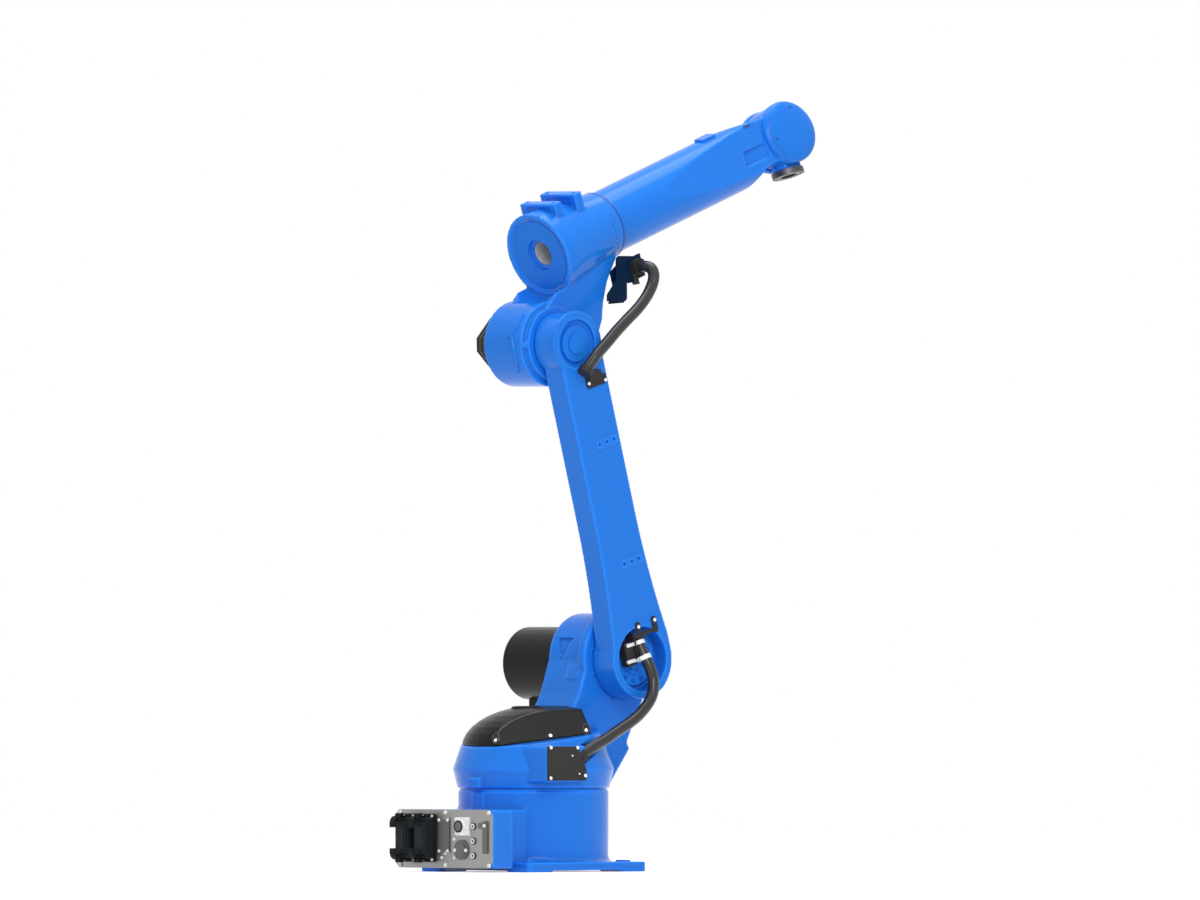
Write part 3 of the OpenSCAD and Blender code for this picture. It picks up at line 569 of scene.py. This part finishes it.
# Hose band: radii, half width and sides of its strap; its block and its screw from the strap outwards, in mm
BAND_R = (14.05, 15.4)
BAND_HALF_W = 5.5
BAND_SIDES = 36
BAND_BLOCK = (9, 13, 1.5)
BAND_BLOCK_SPAN = (-5, 5)
BAND_BLOCK_OUT = 3
BAND_BLOCK_EDGE = 0.8
BAND_SCREW_OUT = 4
BAND_SCREW_Y = -7
BAND_HEAD = (4, 5)


def band(piece, points, point):
    """A strap round a hose where it passes a point of the photograph, with its worm block to the rear."""
    across, rise = sight(point)

    def miss(k):
        return math.hypot(points[k].dot(view_right) - across, points[k].z - rise)

    i = min(range(1, len(points) - 1), key=miss)
    ahead = (points[i + 1] - points[i - 1]).normalized()
    back = Vector((-1, 0, 0))
    back = (back - ahead * back.dot(ahead)).normalized()
    turn = Matrix((back, ahead.cross(back), ahead)).transposed().to_4x4()
    at = Matrix.Translation(points[i] / MM) @ turn
    inner, outer = BAND_R
    piece.lathe(square_ring(inner, outer, -BAND_HALF_W, BAND_HALF_W), at, BAND_SIDES, closed=True)
    block = at @ shift(outer + BAND_BLOCK_OUT, 0)
    piece.prism(rounded(*BAND_BLOCK), *BAND_BLOCK_SPAN, block, BAND_BLOCK_EDGE)
    worm = at @ shift(outer + BAND_SCREW_OUT, BAND_SCREW_Y) @ Matrix.Rotation(math.pi / 2, 4, "X")
    piece.screw(worm, *BAND_HEAD)


# Light: strength of the sky at the horizon and overhead, as surfaces see it
SKY = (0.40, 0.70)
# Lamps: place and size in metres, power in watts, strength of their shine
LAMPS = {
    "key": ((-3.0, -4.5, 3.5), 3.0, 138, 1.0),
    "side": ((-0.6, -4.2, 5.0), 0.9, 26, 1.0),
    "top": ((0.5, 0.5, 6.0), 4.0, 160, 0.12),
}
LAMP_TARGET = Vector((0.2, 0, 0.9))


def seen_rays(tree):
    """1 for rays that show the background: the camera's, reflected ones and those through glass."""
    rays = tree.nodes.new("ShaderNodeLightPath")
    seen = rays.outputs["Is Camera Ray"]
    for kind in ("Is Glossy Ray", "Is Transmission Ray"):
        most = tree.nodes.new("ShaderNodeMath")
        most.operation = "MAXIMUM"
        tree.links.new(seen, most.inputs[0])
        tree.links.new(rays.outputs[kind], most.inputs[1])
        seen = most.outputs["Value"]
    return seen


def make_light():
    world = bpy.data.worlds.new("studio")
    bpy.context.scene.world = world
    world.use_nodes = True
    tree = world.node_tree
    background = tree.nodes["Background"]
    background.inputs["Color"].default_value = (1, 1, 1, 1)
    direction = tree.nodes.new("ShaderNodeTexCoord")
    axes = tree.nodes.new("ShaderNodeSeparateXYZ")
    tree.links.new(direction.outputs["Generated"], axes.inputs["Vector"])
    sky = spread(tree, axes.outputs["Z"], *SKY)
    level = tree.nodes.new("ShaderNodeMix")
    level.inputs["B"].default_value = 1.0
    tree.links.new(seen_rays(tree), level.inputs["Factor"])
    tree.links.new(sky, level.inputs["A"])
    tree.links.new(level.outputs["Result"], background.inputs["Strength"])
    for name, (place, size, power, shine) in LAMPS.items():
        lamp = bpy.data.lights.new(name, "AREA")
        lamp.energy = power
        lamp.size = size
        lamp.specular_factor = shine
        holder = bpy.data.objects.new(name, lamp)
        holder.location = place
        holder.rotation_euler = (LAMP_TARGET - holder.location).to_track_quat("-Z", "Y").to_euler()
        bpy.context.scene.collection.objects.link(holder)


FLOOR_R = 9.0
FLOOR_SIDES = 96
FLOOR_GREY = 0.85
FLOOR_ROUGHNESS = 0.9
FLOOR_GLOW = 0.45


def make_floor():
    """A white floor that still takes the object's shadow."""
    mesh = bmesh.new()
    bmesh.ops.create_circle(mesh, cap_ends=True, radius=FLOOR_R, segments=FLOOR_SIDES)
    data = bpy.data.meshes.new("floor")
    mesh.to_mesh(data)
    mesh.free()
    floor = bpy.data.objects.new("floor", data)
    bpy.context.scene.collection.objects.link(floor)
    material, tree, base = shader("floor", grey(FLOOR_GREY), FLOOR_ROUGHNESS)
    base.inputs["Emission Color"].default_value = (1, 1, 1, 1)
    tree.links.new(spread(tree, seen_rays(tree), 0, FLOOR_GLOW), base.inputs["Emission Strength"])
    data.materials.append(material)


# Foot: bosses round the anchor holes, with radii and heights from the plate's top, in mm
ANCHORS = [(x, y) for x in (-152, 152) for y in (-152, 152)]
FOOT_TOP = 24
ANCHOR_BOSS = [(9.2, -1), (18, -1), (18, 2.4), (16.4, 4), (10.4, 4), (9.2, 3)]
ANCHOR_SIDES = 36
# Seal lip round the turntable ring: how far it reaches out, in, below the ring and short of its top, in mm
LIP_OUT = 10
LIP_IN = 2
LIP_BELOW = 1
LIP_SHORT = 0.8
LIP_SIDES = 96


def base_details():
    bosses = Piece(in_mm)
    for x, y in ANCHORS:
        bosses.lathe(ANCHOR_BOSS, shift(x, y, FOOT_TOP), ANCHOR_SIDES, closed=True)
    bosses.done("anchor_bosses", paint, "base")

    low, high = (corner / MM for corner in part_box("turntable_ring"))
    lip = square_ring(high.x - LIP_IN, high.x + LIP_OUT, low.z - LIP_BELOW, high.z - LIP_SHORT)
    make_ring(in_mm, lip, LIP_SIDES, "turntable_lip", paint, "base")


# Connector panel: places in mm from its middle to the right and from the floor up, heights off its face
ROUND_AT = (64, 110)
PLUGS = (-117, -51)
PLUG_MID = 82
PLUG_W = 46
PLUG_H = 98
PLUG_D = 28
FITTINGS = [(105, 40), (105, 75), (105, 110)]
STRIP_SCREW = (148, 112)
# Screws: their places, the height of their seat, and their heads' radius and height
PANEL_SCREWS = [
    ([(x, z) for x in (-151, 8, 161) for z in (143, 17)], 0, 4.8, 4),
    ([(39, 79), (8, 45), (-5, 35), (39, 35)], 0, 3.8, 3),
    ([(46, 53), (84, 53)], 4, 4.2, 4),
    ([(x, z) for x in (-11, 19) for z in (125, 51)], 4, 3.8, 3),
    ([(x + dx, PLUG_MID + dz) for x in PLUGS for dx in (-17, 17) for dz in (-52, 52)], 6, 3.4, 3),
    ([STRIP_SCREW], 4, 4.2, 3),
    ([(ROUND_AT[0] + dx, ROUND_AT[1] + dz) for dx in (-18, 18) for dz in (-18, 18)], 3, 2.8, 2.5),
]


def panel_screws():
    screws = Piece(on_panel)
    for places, seat, r, h in PANEL_SCREWS:
        for x, z in places:
            screws.screw(shift(x, z, seat), r, h)
    screws.done("panel_screws", zinc, "base")


# Round connector: outline, thickness and edge of its plate and of the bar beside it; radii and heights
ROUND_PLATE = (44, 44, 4)
ROUND_PLATE_T = 3
ROUND_PLATE_EDGE = 0.8
ROUND_BAR = (4, 44, 1)
ROUND_BAR_T = 7
ROUND_BAR_EDGE = 0.5
ROUND_BAR_OUT = 29
ROUND_BODY = [(14.5, 2), (14.5, 11.5), (13.5, 12.5), (9, 12.5)]
ROUND_RIM = [(11.4, 11), (14.8, 11), (14.8, 13), (13.6, 14.2), (12.2, 14.2), (11.4, 13.4)]
ROUND_FACE = [(11.8, 12), (11.8, 13), (9, 13.4), (7, 13)]
ROUND_SIDES = 40
ROUND_FACE_SIDES = 32


def round_connector():
    x, z = ROUND_AT
    body = Piece(on_panel)
    body.prism(rounded(*ROUND_PLATE), 0, ROUND_PLATE_T, shift(x, z), ROUND_PLATE_EDGE)
    body.prism(rounded(*ROUND_BAR), 0, ROUND_BAR_T, shift(x + ROUND_BAR_OUT, z), ROUND_BAR_EDGE)
    body.lathe(ROUND_BODY, shift(x, z), ROUND_SIDES)
    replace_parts(body.done("round_connector_body", zinc, "base"), "round_connector")

    face = Piece(on_panel)
    face.lathe(ROUND_FACE, shift(x, z), ROUND_FACE_SIDES)
    face.done("round_connector_face", gunmetal, "base")


# Connector shells: outline, heights and edge of the side ribs and of the steps on the front; end pins
PLUG_RIB = ((3, PLUG_H - 26, 1.2), (6, PLUG_D - 3), 0.6)
PLUG_RIB_X = PLUG_W / 2 + 0.6
PLUG_STEPS = [
    ((PLUG_W - 12, PLUG_H - 18, 6), (PLUG_D - 5, PLUG_D + 3), 2),
    ((PLUG_W - 24, PLUG_H - 40, 5), (PLUG_D + 2, PLUG_D + 5), 1.5),
]
PLUG_PIN = [(6, 8), (6, 12), (4.6, 13.4)]
PLUG_PIN_SIDES = 20
PLUG_PIN_Z = PLUG_H / 2 + 3


def connector_shells():
    shell = Piece(on_panel)
    shell.lathe(ROUND_RIM, shift(*ROUND_AT), ROUND_SIDES, closed=True)
    for plug in PLUGS:
        outline, span, edge = PLUG_RIB
        for dx in (-PLUG_RIB_X, PLUG_RIB_X):
            shell.prism(rounded(*outline), *span, shift(plug + dx, PLUG_MID), edge)
        for outline, span, edge in PLUG_STEPS:
            shell.prism(rounded(*outline), *span, shift(plug, PLUG_MID), edge)
        for dz in (-PLUG_PIN_Z, PLUG_PIN_Z):
            shell.lathe(PLUG_PIN, shift(plug, PLUG_MID + dz), PLUG_PIN_SIDES)
    shell.done("connector_shells", black_connector, "base")


# Locking levers: width, thickness, radius and tip of the hook, foot, shift of the hook to the left, grip
LEVER_W = 18
LEVER_T = 4
LEVER_HOOK = (18, 10)
LEVER_FOOT = 10
LEVER_SHIFT = 13
LEVER_GRIP = (12, 10, 2.5)
LEVER_BEND_STEPS = 6


def lever_outline(reach):
    """A lever seen from the side, from its foot out to the hook."""
    r, tip = LEVER_HOOK
    turn = reach - r
    low = LEVER_T - r
    bend = [math.pi / 2 * k / LEVER_BEND_STEPS for k in range(LEVER_BEND_STEPS + 1)]
    outer = [(turn + r * math.cos(a), low + r * math.sin(a)) for a in reversed(bend)]
    inner = [(turn + (r - LEVER_T) * math.cos(a), low + (r - LEVER_T) * math.sin(a)) for a in bend]
    foot = [(LEVER_FOOT, 0), (LEVER_FOOT, LEVER_T)]
    end = [(reach, low - tip), (reach - LEVER_T, low - tip)]
    return foot + outer + end + inner


def locking_levers():
    levers = Piece(on_panel)
    reach = (panel_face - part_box("connector_levers")[0].x) / MM
    across = (-LEVER_W / 2, LEVER_W / 2)
    for plug in PLUGS:
        for side in (-1, 1):
            # A lever's x runs out of the panel, and its y away from the plug
            turn = Matrix(((0, 0, -side, 0), (0, side, 0, 0), (1, 0, 0, 0), (0, 0, 0, 1)))
            end = PLUG_MID + side * PLUG_H / 2
            levers.prism(lever_outline(reach), *across, shift(plug - LEVER_SHIFT, end) @ turn)
            grip = shift(reach - LEVER_GRIP[0], LEVER_GRIP[1] / 2)
            levers.prism(rounded(*LEVER_GRIP), *across, shift(plug, end) @ turn @ grip)
    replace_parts(levers.done("connector_claws", black_lever, "base"), "connector_levers")


# Air fittings: radii and heights of the nut, the ring in it and the heart of the ring
FITTING_NUT = [(6, -0.5), (8.6, -0.5), (8.6, 2.6), (7.8, 3.4), (6, 3.4)]
FITTING_RING = [(3.4, 0), (6.6, 0), (6.6, 3.8), (6, 4.4), (4.2, 4.4), (3.4, 3.8)]
FITTING_HEART = [(3.6, 0), (3.6, 3.2), (2.4, 3.5)]
FITTING_SIDES = 28
HEART_SIDES = 20


def air_fittings():
    nuts = Piece(on_panel)
    rings = Piece(on_panel)
    hearts = Piece(on_panel)
    for place in FITTINGS:
        at = shift(*place)
        nuts.lathe(FITTING_NUT, at, FITTING_SIDES, closed=True)
        rings.lathe(FITTING_RING, at, FITTING_SIDES, closed=True)
        hearts.lathe(FITTING_HEART, at, HEART_SIDES)
    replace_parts(nuts.done("fitting_nuts", dark_steel, "base"), "air_fittings")
    rings.done("fitting_rings", white_ring, "base")
    hearts.done("fitting_hearts", blue_ring, "base")


# Arm of the strip cover, left of its screw: outline, heights and edge
STRIP_ARM = (16, 14, 2)
STRIP_ARM_SPAN = (0, 4)
STRIP_ARM_EDGE = 0.6
STRIP_ARM_LEFT = 15


def panel_details():
    panel_screws()
    round_connector()
    connector_shells()
    locking_levers()
    air_fittings()
    x, z = STRIP_SCREW
    make_plate(on_panel, rounded(*STRIP_ARM), STRIP_ARM_SPAN, STRIP_ARM_EDGE, "strip_cover_arm", gunmetal,
               "base", shift(x - STRIP_ARM_LEFT, z))


# Turret: points of the photograph
HOOD_SCREWS = [(496.4, 739.6), (550.4, 735.2), (586.0, 730.0)]
HOOD_POCKETS = [(496.4, 737.4), (586.2, 728.4)]
HOOD_CREASE = [
    (497.6, 733.0), (502.0, 727.6), (510.0, 721.4), (520.0, 716.6), (532.0, 712.6), (546.0, 709.9),
]
COVER_SCREWS = [(550.8, 746.4), (577.3, 746.6), (550.6, 776.8), (585.0, 774.5)]
COVER_DOTS = [(572.2, 754.6), (579.3, 772.8)]
TOWER_POCKET = [(555.4, 637.4), (569.6, 637.4), (561.2, 659.6), (558.0, 652.0), (555.4, 637.4)]
# Sizes in mm: radius and height of screw heads, width and height of ridges
COVER_HEAD = (4.4, 3.4)
COVER_DOT_HEAD = (2.4, 2)
HOOD_CREASE_SIZE = (5, 1.6)
TOWER_POCKET_SIZE = (3.4, 1.2)
# Oval pocket in the hood, a black oval whose colour is painted shade of its depth: half width and half
# height, heights, edge and sides
POCKET = (7.5, 13)
POCKET_SPAN = (-3, 0.7)
POCKET_EDGE = 0.5
POCKET_SIDES = 28
# Lip round a hood pocket, lighter than the hood as painted highlight: half width, half height and rise in mm
LIP = [(7.2, 12.7, -1), (7.2, 12.7, 1.6), (8.4, 13.9, 2.2), (9.8, 15.3, 1.4), (10.4, 15.9, -1)]
POCKET_LIP_SIDES = 32
# Lid on the hood: its place, and radii and heights from the hood's top
HOOD_LID_AT = (-22, 4)
HOOD_LID = [(34, -8), (34, -2.6), (31, -1.6), (29, -0.8), (12, -0.4)]
HOOD_LID_SIDES = 48
# Bolts round the shoulder's flange: count, radius and first angle, and their heads
SHOULDER_BOLTS = (20, 97, 0.1)
SHOULDER_HEAD = (5.2, 3.2)


def turret_details():
    rows = [
        ("rear_hood", HOOD_SCREWS, COVER_HEAD),
        ("cable_box_cover", COVER_SCREWS, COVER_HEAD),
        ("cable_box_cover", COVER_DOTS, COVER_DOT_HEAD),
    ]
    make_screws(rows, "cover_screws", steel, "turret")

    pockets = Piece(in_metres)
    lips = Piece(in_metres)
    w, h = POCKET
    for point in HOOD_POCKETS:
        at = spot("rear_hood", point)
        oval = [(w * c, h * s) for c, s in circle_of(POCKET_SIDES, 1)]
        pockets.prism(oval, *POCKET_SPAN, at, POCKET_EDGE)
        around = circle_of(POCKET_LIP_SIDES, 1)
        lips.loft([[(a * c, b * s, z) for c, s in around] for a, b, z in LIP], at, closed=True)
    # Ridge along the hood's crease in the lighter black: painted highlight on the crease
    lips.ridge("rear_hood", HOOD_CREASE, *HOOD_CREASE_SIZE)
    pockets.done("hood_pockets", black_painted_pocket_shade, "turret")
    lips.done("hood_lips_painted_highlight", black_painted_highlight, "turret")

    make_ridges("turret_casting", [TOWER_POCKET], TOWER_POCKET_SIZE, "tower_pocket_rim", paint, "turret")

    lid = Piece(in_mm)
    lid.lathe(HOOD_LID, shift(*HOOD_LID_AT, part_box("rear_hood")[1].z / MM), HOOD_LID_SIDES)
    lid.done("hood_lid", black_shell, "turret")

    heads = Piece(on_shoulder)
    for x, y in circle_of(*SHOULDER_BOLTS):
        heads.screw(shift(x, y), *SHOULDER_HEAD)
    heads.done("shoulder_bolts", paint, "turret")


# Lower arm: points of the photograph
PRONG_SCREWS = [(638.0, 626.6), (654.0, 619.5)]
TEE_SCREWS = [(588.6, 383.5), (605.0, 379.8)]
TEE_MID = (596.5, 382.0)
BANDS = [(640.5, 641.0), (646.5, 656.4)]
CLAMP_TIES = [[(626.5, 646.0), (634.5, 643.6)], [(627.5, 662.4), (635.5, 660.0)]]
# Sizes in mm: radius and height of screw heads, width and height of ridges
BRACKET_HEAD = (4.6, 3.6)
CLAMP_TIE_SIZE = (10, 1.4)
# Bolts of the shoulder hub: count, radius and first angle, height from the hub's face, and their heads
HUB_BOLTS = [((12, 52, 0.2), -4, (4.6, 3.6)), ((8, 27), 0, (3.4, 2.8))]
# Stem between the tee's bar and the gland, in mm from the middle of the bar
TEE_STEM = [(-27, -2), (-26, 28), (11, 31), (16, 2)]
TEE_STEM_SPAN = (-2, 4)
TEE_STEM_EDGE = 0.6
# Rim round the arm's head and dish round the elbow hub: radii and heights from the arm's face in mm
HEAD_RIM = [(67, -4), (68.5, -0.8), (71, 0.8), (75, 1.0), (78, -0.6), (79.5, -4)]
HEAD_RIM_SIDES = 72
DISH = [(42, -25), (57.8, -25), (57.8, -9), (54, -11.5), (47, -12.5), (42, -12.5)]
DISH_SIDES = 56


def lower_arm_details():
    rows = [
        ("lower_hose_bracket", PRONG_SCREWS, BRACKET_HEAD),
        ("upper_hose_bracket", TEE_SCREWS, BRACKET_HEAD),
    ]
    make_screws(rows, "bracket_screws", steel, "lower_arm")

    bolts = Piece(on_arm)
    face = (arm_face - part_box("shoulder_hub")[0].y) / MM
    for places, seat, head in HUB_BOLTS:
        for x, y in circle_of(*places):
            bolts.screw(shift(x, y, face + seat), *head)
    bolts.done("shoulder_hub_bolts", paint, "lower_arm")

    at = shift(0, arm_l)
    make_ring(on_arm, HEAD_RIM, HEAD_RIM_SIDES, "elbow_head_rim", paint, "lower_arm", at)
    make_plate(spot("upper_hose_bracket", TEE_MID), TEE_STEM, TEE_STEM_SPAN, TEE_STEM_EDGE, "tee_stem",
               black_sheet, "lower_arm")
    make_ring(on_arm, DISH, DISH_SIDES, "elbow_hub_dish", paint_machined, "lower_arm", at)
    make_ridges("lower_hose_bracket", CLAMP_TIES, CLAMP_TIE_SIZE, "clamp_ties", zinc, "lower_arm")

    straps = Piece(in_mm)
    for point in BANDS:
        band(straps, lower_points, point)
    straps.done("lower_hose_bands", zinc, "lower_arm")


# Elbow, forearm and wrist: points of the photograph
ELBOW_RIB = [(523.0, 315.0), (517.0, 326.0), (511.5, 335.5), (514.8, 352.0), (518.5, 371.5)]
ELBOW_RIB_ARM = [(505.2, 337.0), (511.5, 335.5)]
BARREL_TICKS = [
    [(609.6, 213.6), (611.2, 216.6)], [(612.6, 221.6), (613.8, 226.4)], [(615.2, 229.4), (616.2, 233.0)],
    [(616.4, 237.2), (617.0, 239.4)], [(617.0, 243.8), (618.4, 242.6)], [(618.0, 247.2), (617.6, 249.0)],
]
REAR_RIM_SCREWS = [(538.3, 217.0), (517.8, 225.8)]
FOREARM_SLOT = [(744.0, 126.6), (750.0, 124.2)]
CAP_SCREWS = [(790.5, 105.4), (777.7, 137.9)]
CAP_SEAM = [
    (769.8, 114.0), (769.5, 119.0), (769.9, 124.5), (772.2, 133.3), (776.1, 142.2), (782.2, 151.1),
    (789.0, 157.2),
]
# Sizes in mm: radius and height of screw heads, width and height of ridges
ELBOW_RIB_SIZE = (10, 4.6)
ELBOW_RIB_ARM_SIZE = (10, 4.0)
TICK_SIZE = (2.4, 0.6)
FOREARM_SLOT_SIZE = (9, 0.6)
CAP_SEAM_SIZE = (1.3, 0.3)
REAR_RIM_HEAD = (3.2, 1.6)
CAP_HEAD = (3.6, 1.4)
# Plate behind the upper hose's gland and a flag on it: x and z in mm from the elbow axis, heights and edges
GLAND_PLATE = [
    (152, 102), (152, 118), (181, 152), (181, 205), (188, 211), (236, 211), (242, 205), (242, 148),
    (216, 146), (216, 108), (210, 102),
]
GLAND_PLATE_SPAN = (0, 3.5)
GLAND_PLATE_EDGE = 0.6
GLAND_FLAG = [(226, 180), (240, 180), (252, 144), (236, 142)]
GLAND_FLAG_SPAN = (1, 10)
GLAND_FLAG_EDGE = 0.8
# Round the forearm's axis, radii and heights in mm from the middle of the liner: bevel round the rear cover,
# collar at the cable bore, sleeve in the bore and a dark ring in the gap between barrel and forearm, painted
# shade of the gap
REAR_BEVEL = [(85.8, 20.5), (93.9, 20.5), (93.9, 30.6), (86.4, 25.4)]
COLLAR = [(29.2, 3), (38.9, 3), (38.9, 17.4), (37.4, 18.6), (30.8, 18.6), (29.2, 17)]
SLEEVE = [(28.9, -124), (28.9, 13), (28.2, 13), (28.2, -122), (2, -122)]
SLEEVE_SIDES = 40
GAP_SHADE_RING = square_ring(66, 84.2, -177.6, -182.2)
BORE_RING_SIDES = 64
# Webs in the rear of the feeder lugs, in mm from the middle of the liner: where each starts, and their size
LUG_WEBS = (-14, -83)
LUG_WEB_HALF_W = 39.5
LUG_WEB_UP = (84, 109.5)
LUG_WEB_T = 5.5
# Lid on the forearm's top: outline, heights, edge and place along it in mm from the wrist axis
FOREARM_LID = (46, 34, 5)
FOREARM_LID_SPAN = (66, 83.5)
FOREARM_LID_EDGE = 2
FOREARM_LID_X = -225


def elbow_details():
    ribs = Piece(in_metres)
    ribs.ridge("elbow_casting", ELBOW_RIB, *ELBOW_RIB_SIZE)
    ribs.ridge("elbow_casting", ELBOW_RIB_ARM, *ELBOW_RIB_ARM_SIZE)
    ribs.done("elbow_ribs", paint, "elbow")

    make_ridges("elbow_casting", BARREL_TICKS, TICK_SIZE, "roll_marks", blue_dark_and_painted_shade, "elbow")
    rows = [("elbow_casting", REAR_RIM_SCREWS, REAR_RIM_HEAD)]
    make_screws(rows, "rear_rim_screws", paint_machined, "elbow")
    make_ring(on_bore, REAR_BEVEL, BORE_RING_SIDES, "rear_cover_bevel", paint, "elbow")
    make_plate(on_gland, GLAND_PLATE, GLAND_PLATE_SPAN, GLAND_PLATE_EDGE, "elbow_gland_plate", navy_sheet,
               "elbow")
    make_plate(on_gland, GLAND_FLAG, GLAND_FLAG_SPAN, GLAND_FLAG_EDGE, "elbow_gland_flag", black_sheet,
               "elbow")
    make_ring(on_bore, COLLAR, BORE_RING_SIDES, "cable_bore_collar", paint, "elbow")

    webs = Piece(on_bore)
    foot, top = LUG_WEB_UP
    w = LUG_WEB_HALF_W
    for start in LUG_WEBS:
        webs.prism([(-w, foot), (w, foot), (w, top), (-w, top)], start, start + LUG_WEB_T)
    webs.done("feeder_lug_webs", paint, "elbow")

    # Sleeve in the bore, lightened as painted light against the bore's shade
    sleeve = Piece(on_bore)
    sleeve.lathe(SLEEVE, None, SLEEVE_SIDES)
    sleeve.done("cable_bore_sleeve", grey_tube_painted_light, "elbow")
    # Dark ring filling the gap between barrel and forearm: painted shade of the gap
    make_ring(on_bore, GAP_SHADE_RING, BORE_RING_SIDES, "forearm_gap_painted_shade", blue_dark_and_painted_shade, "elbow")


def forearm_details():
    # Dark line along the wrist cap's seam: painted shade of the seam's groove
    make_ridges("right_wrist_cap", [CAP_SEAM], CAP_SEAM_SIZE, "cap_seam_painted_shade", blue_dark_and_painted_shade, "forearm")
    make_plate(on_forearm_top, rounded(*FOREARM_LID), FOREARM_LID_SPAN, FOREARM_LID_EDGE, "forearm_lid",
               paint, "forearm", shift(FOREARM_LID_X, 0))
    # Dark strip along the forearm's slot: painted shade of the slot
    make_ridges("forearm_casting", [FOREARM_SLOT], FOREARM_SLOT_SIZE, "forearm_slot_painted_shade", blue_dark_and_painted_shade, "forearm")
    # Cap screws in dark blue: painted shade of the recesses they sit in
    rows = [("right_wrist_cap", CAP_SCREWS, CAP_HEAD)]
    make_screws(rows, "cap_screws", blue_dark_and_painted_shade, "forearm")


make_camera()
make_light()
make_floor()
dress_nodes()
lower_points = hose("lower_hose", LOWER_ROUTE)
hose("upper_hose", UPPER_ROUTE)
base_details()
panel_details()
turret_details()
lower_arm_details()
elbow_details()
forearm_details()

bpy.context.scene.view_settings.view_transform = "Standard"
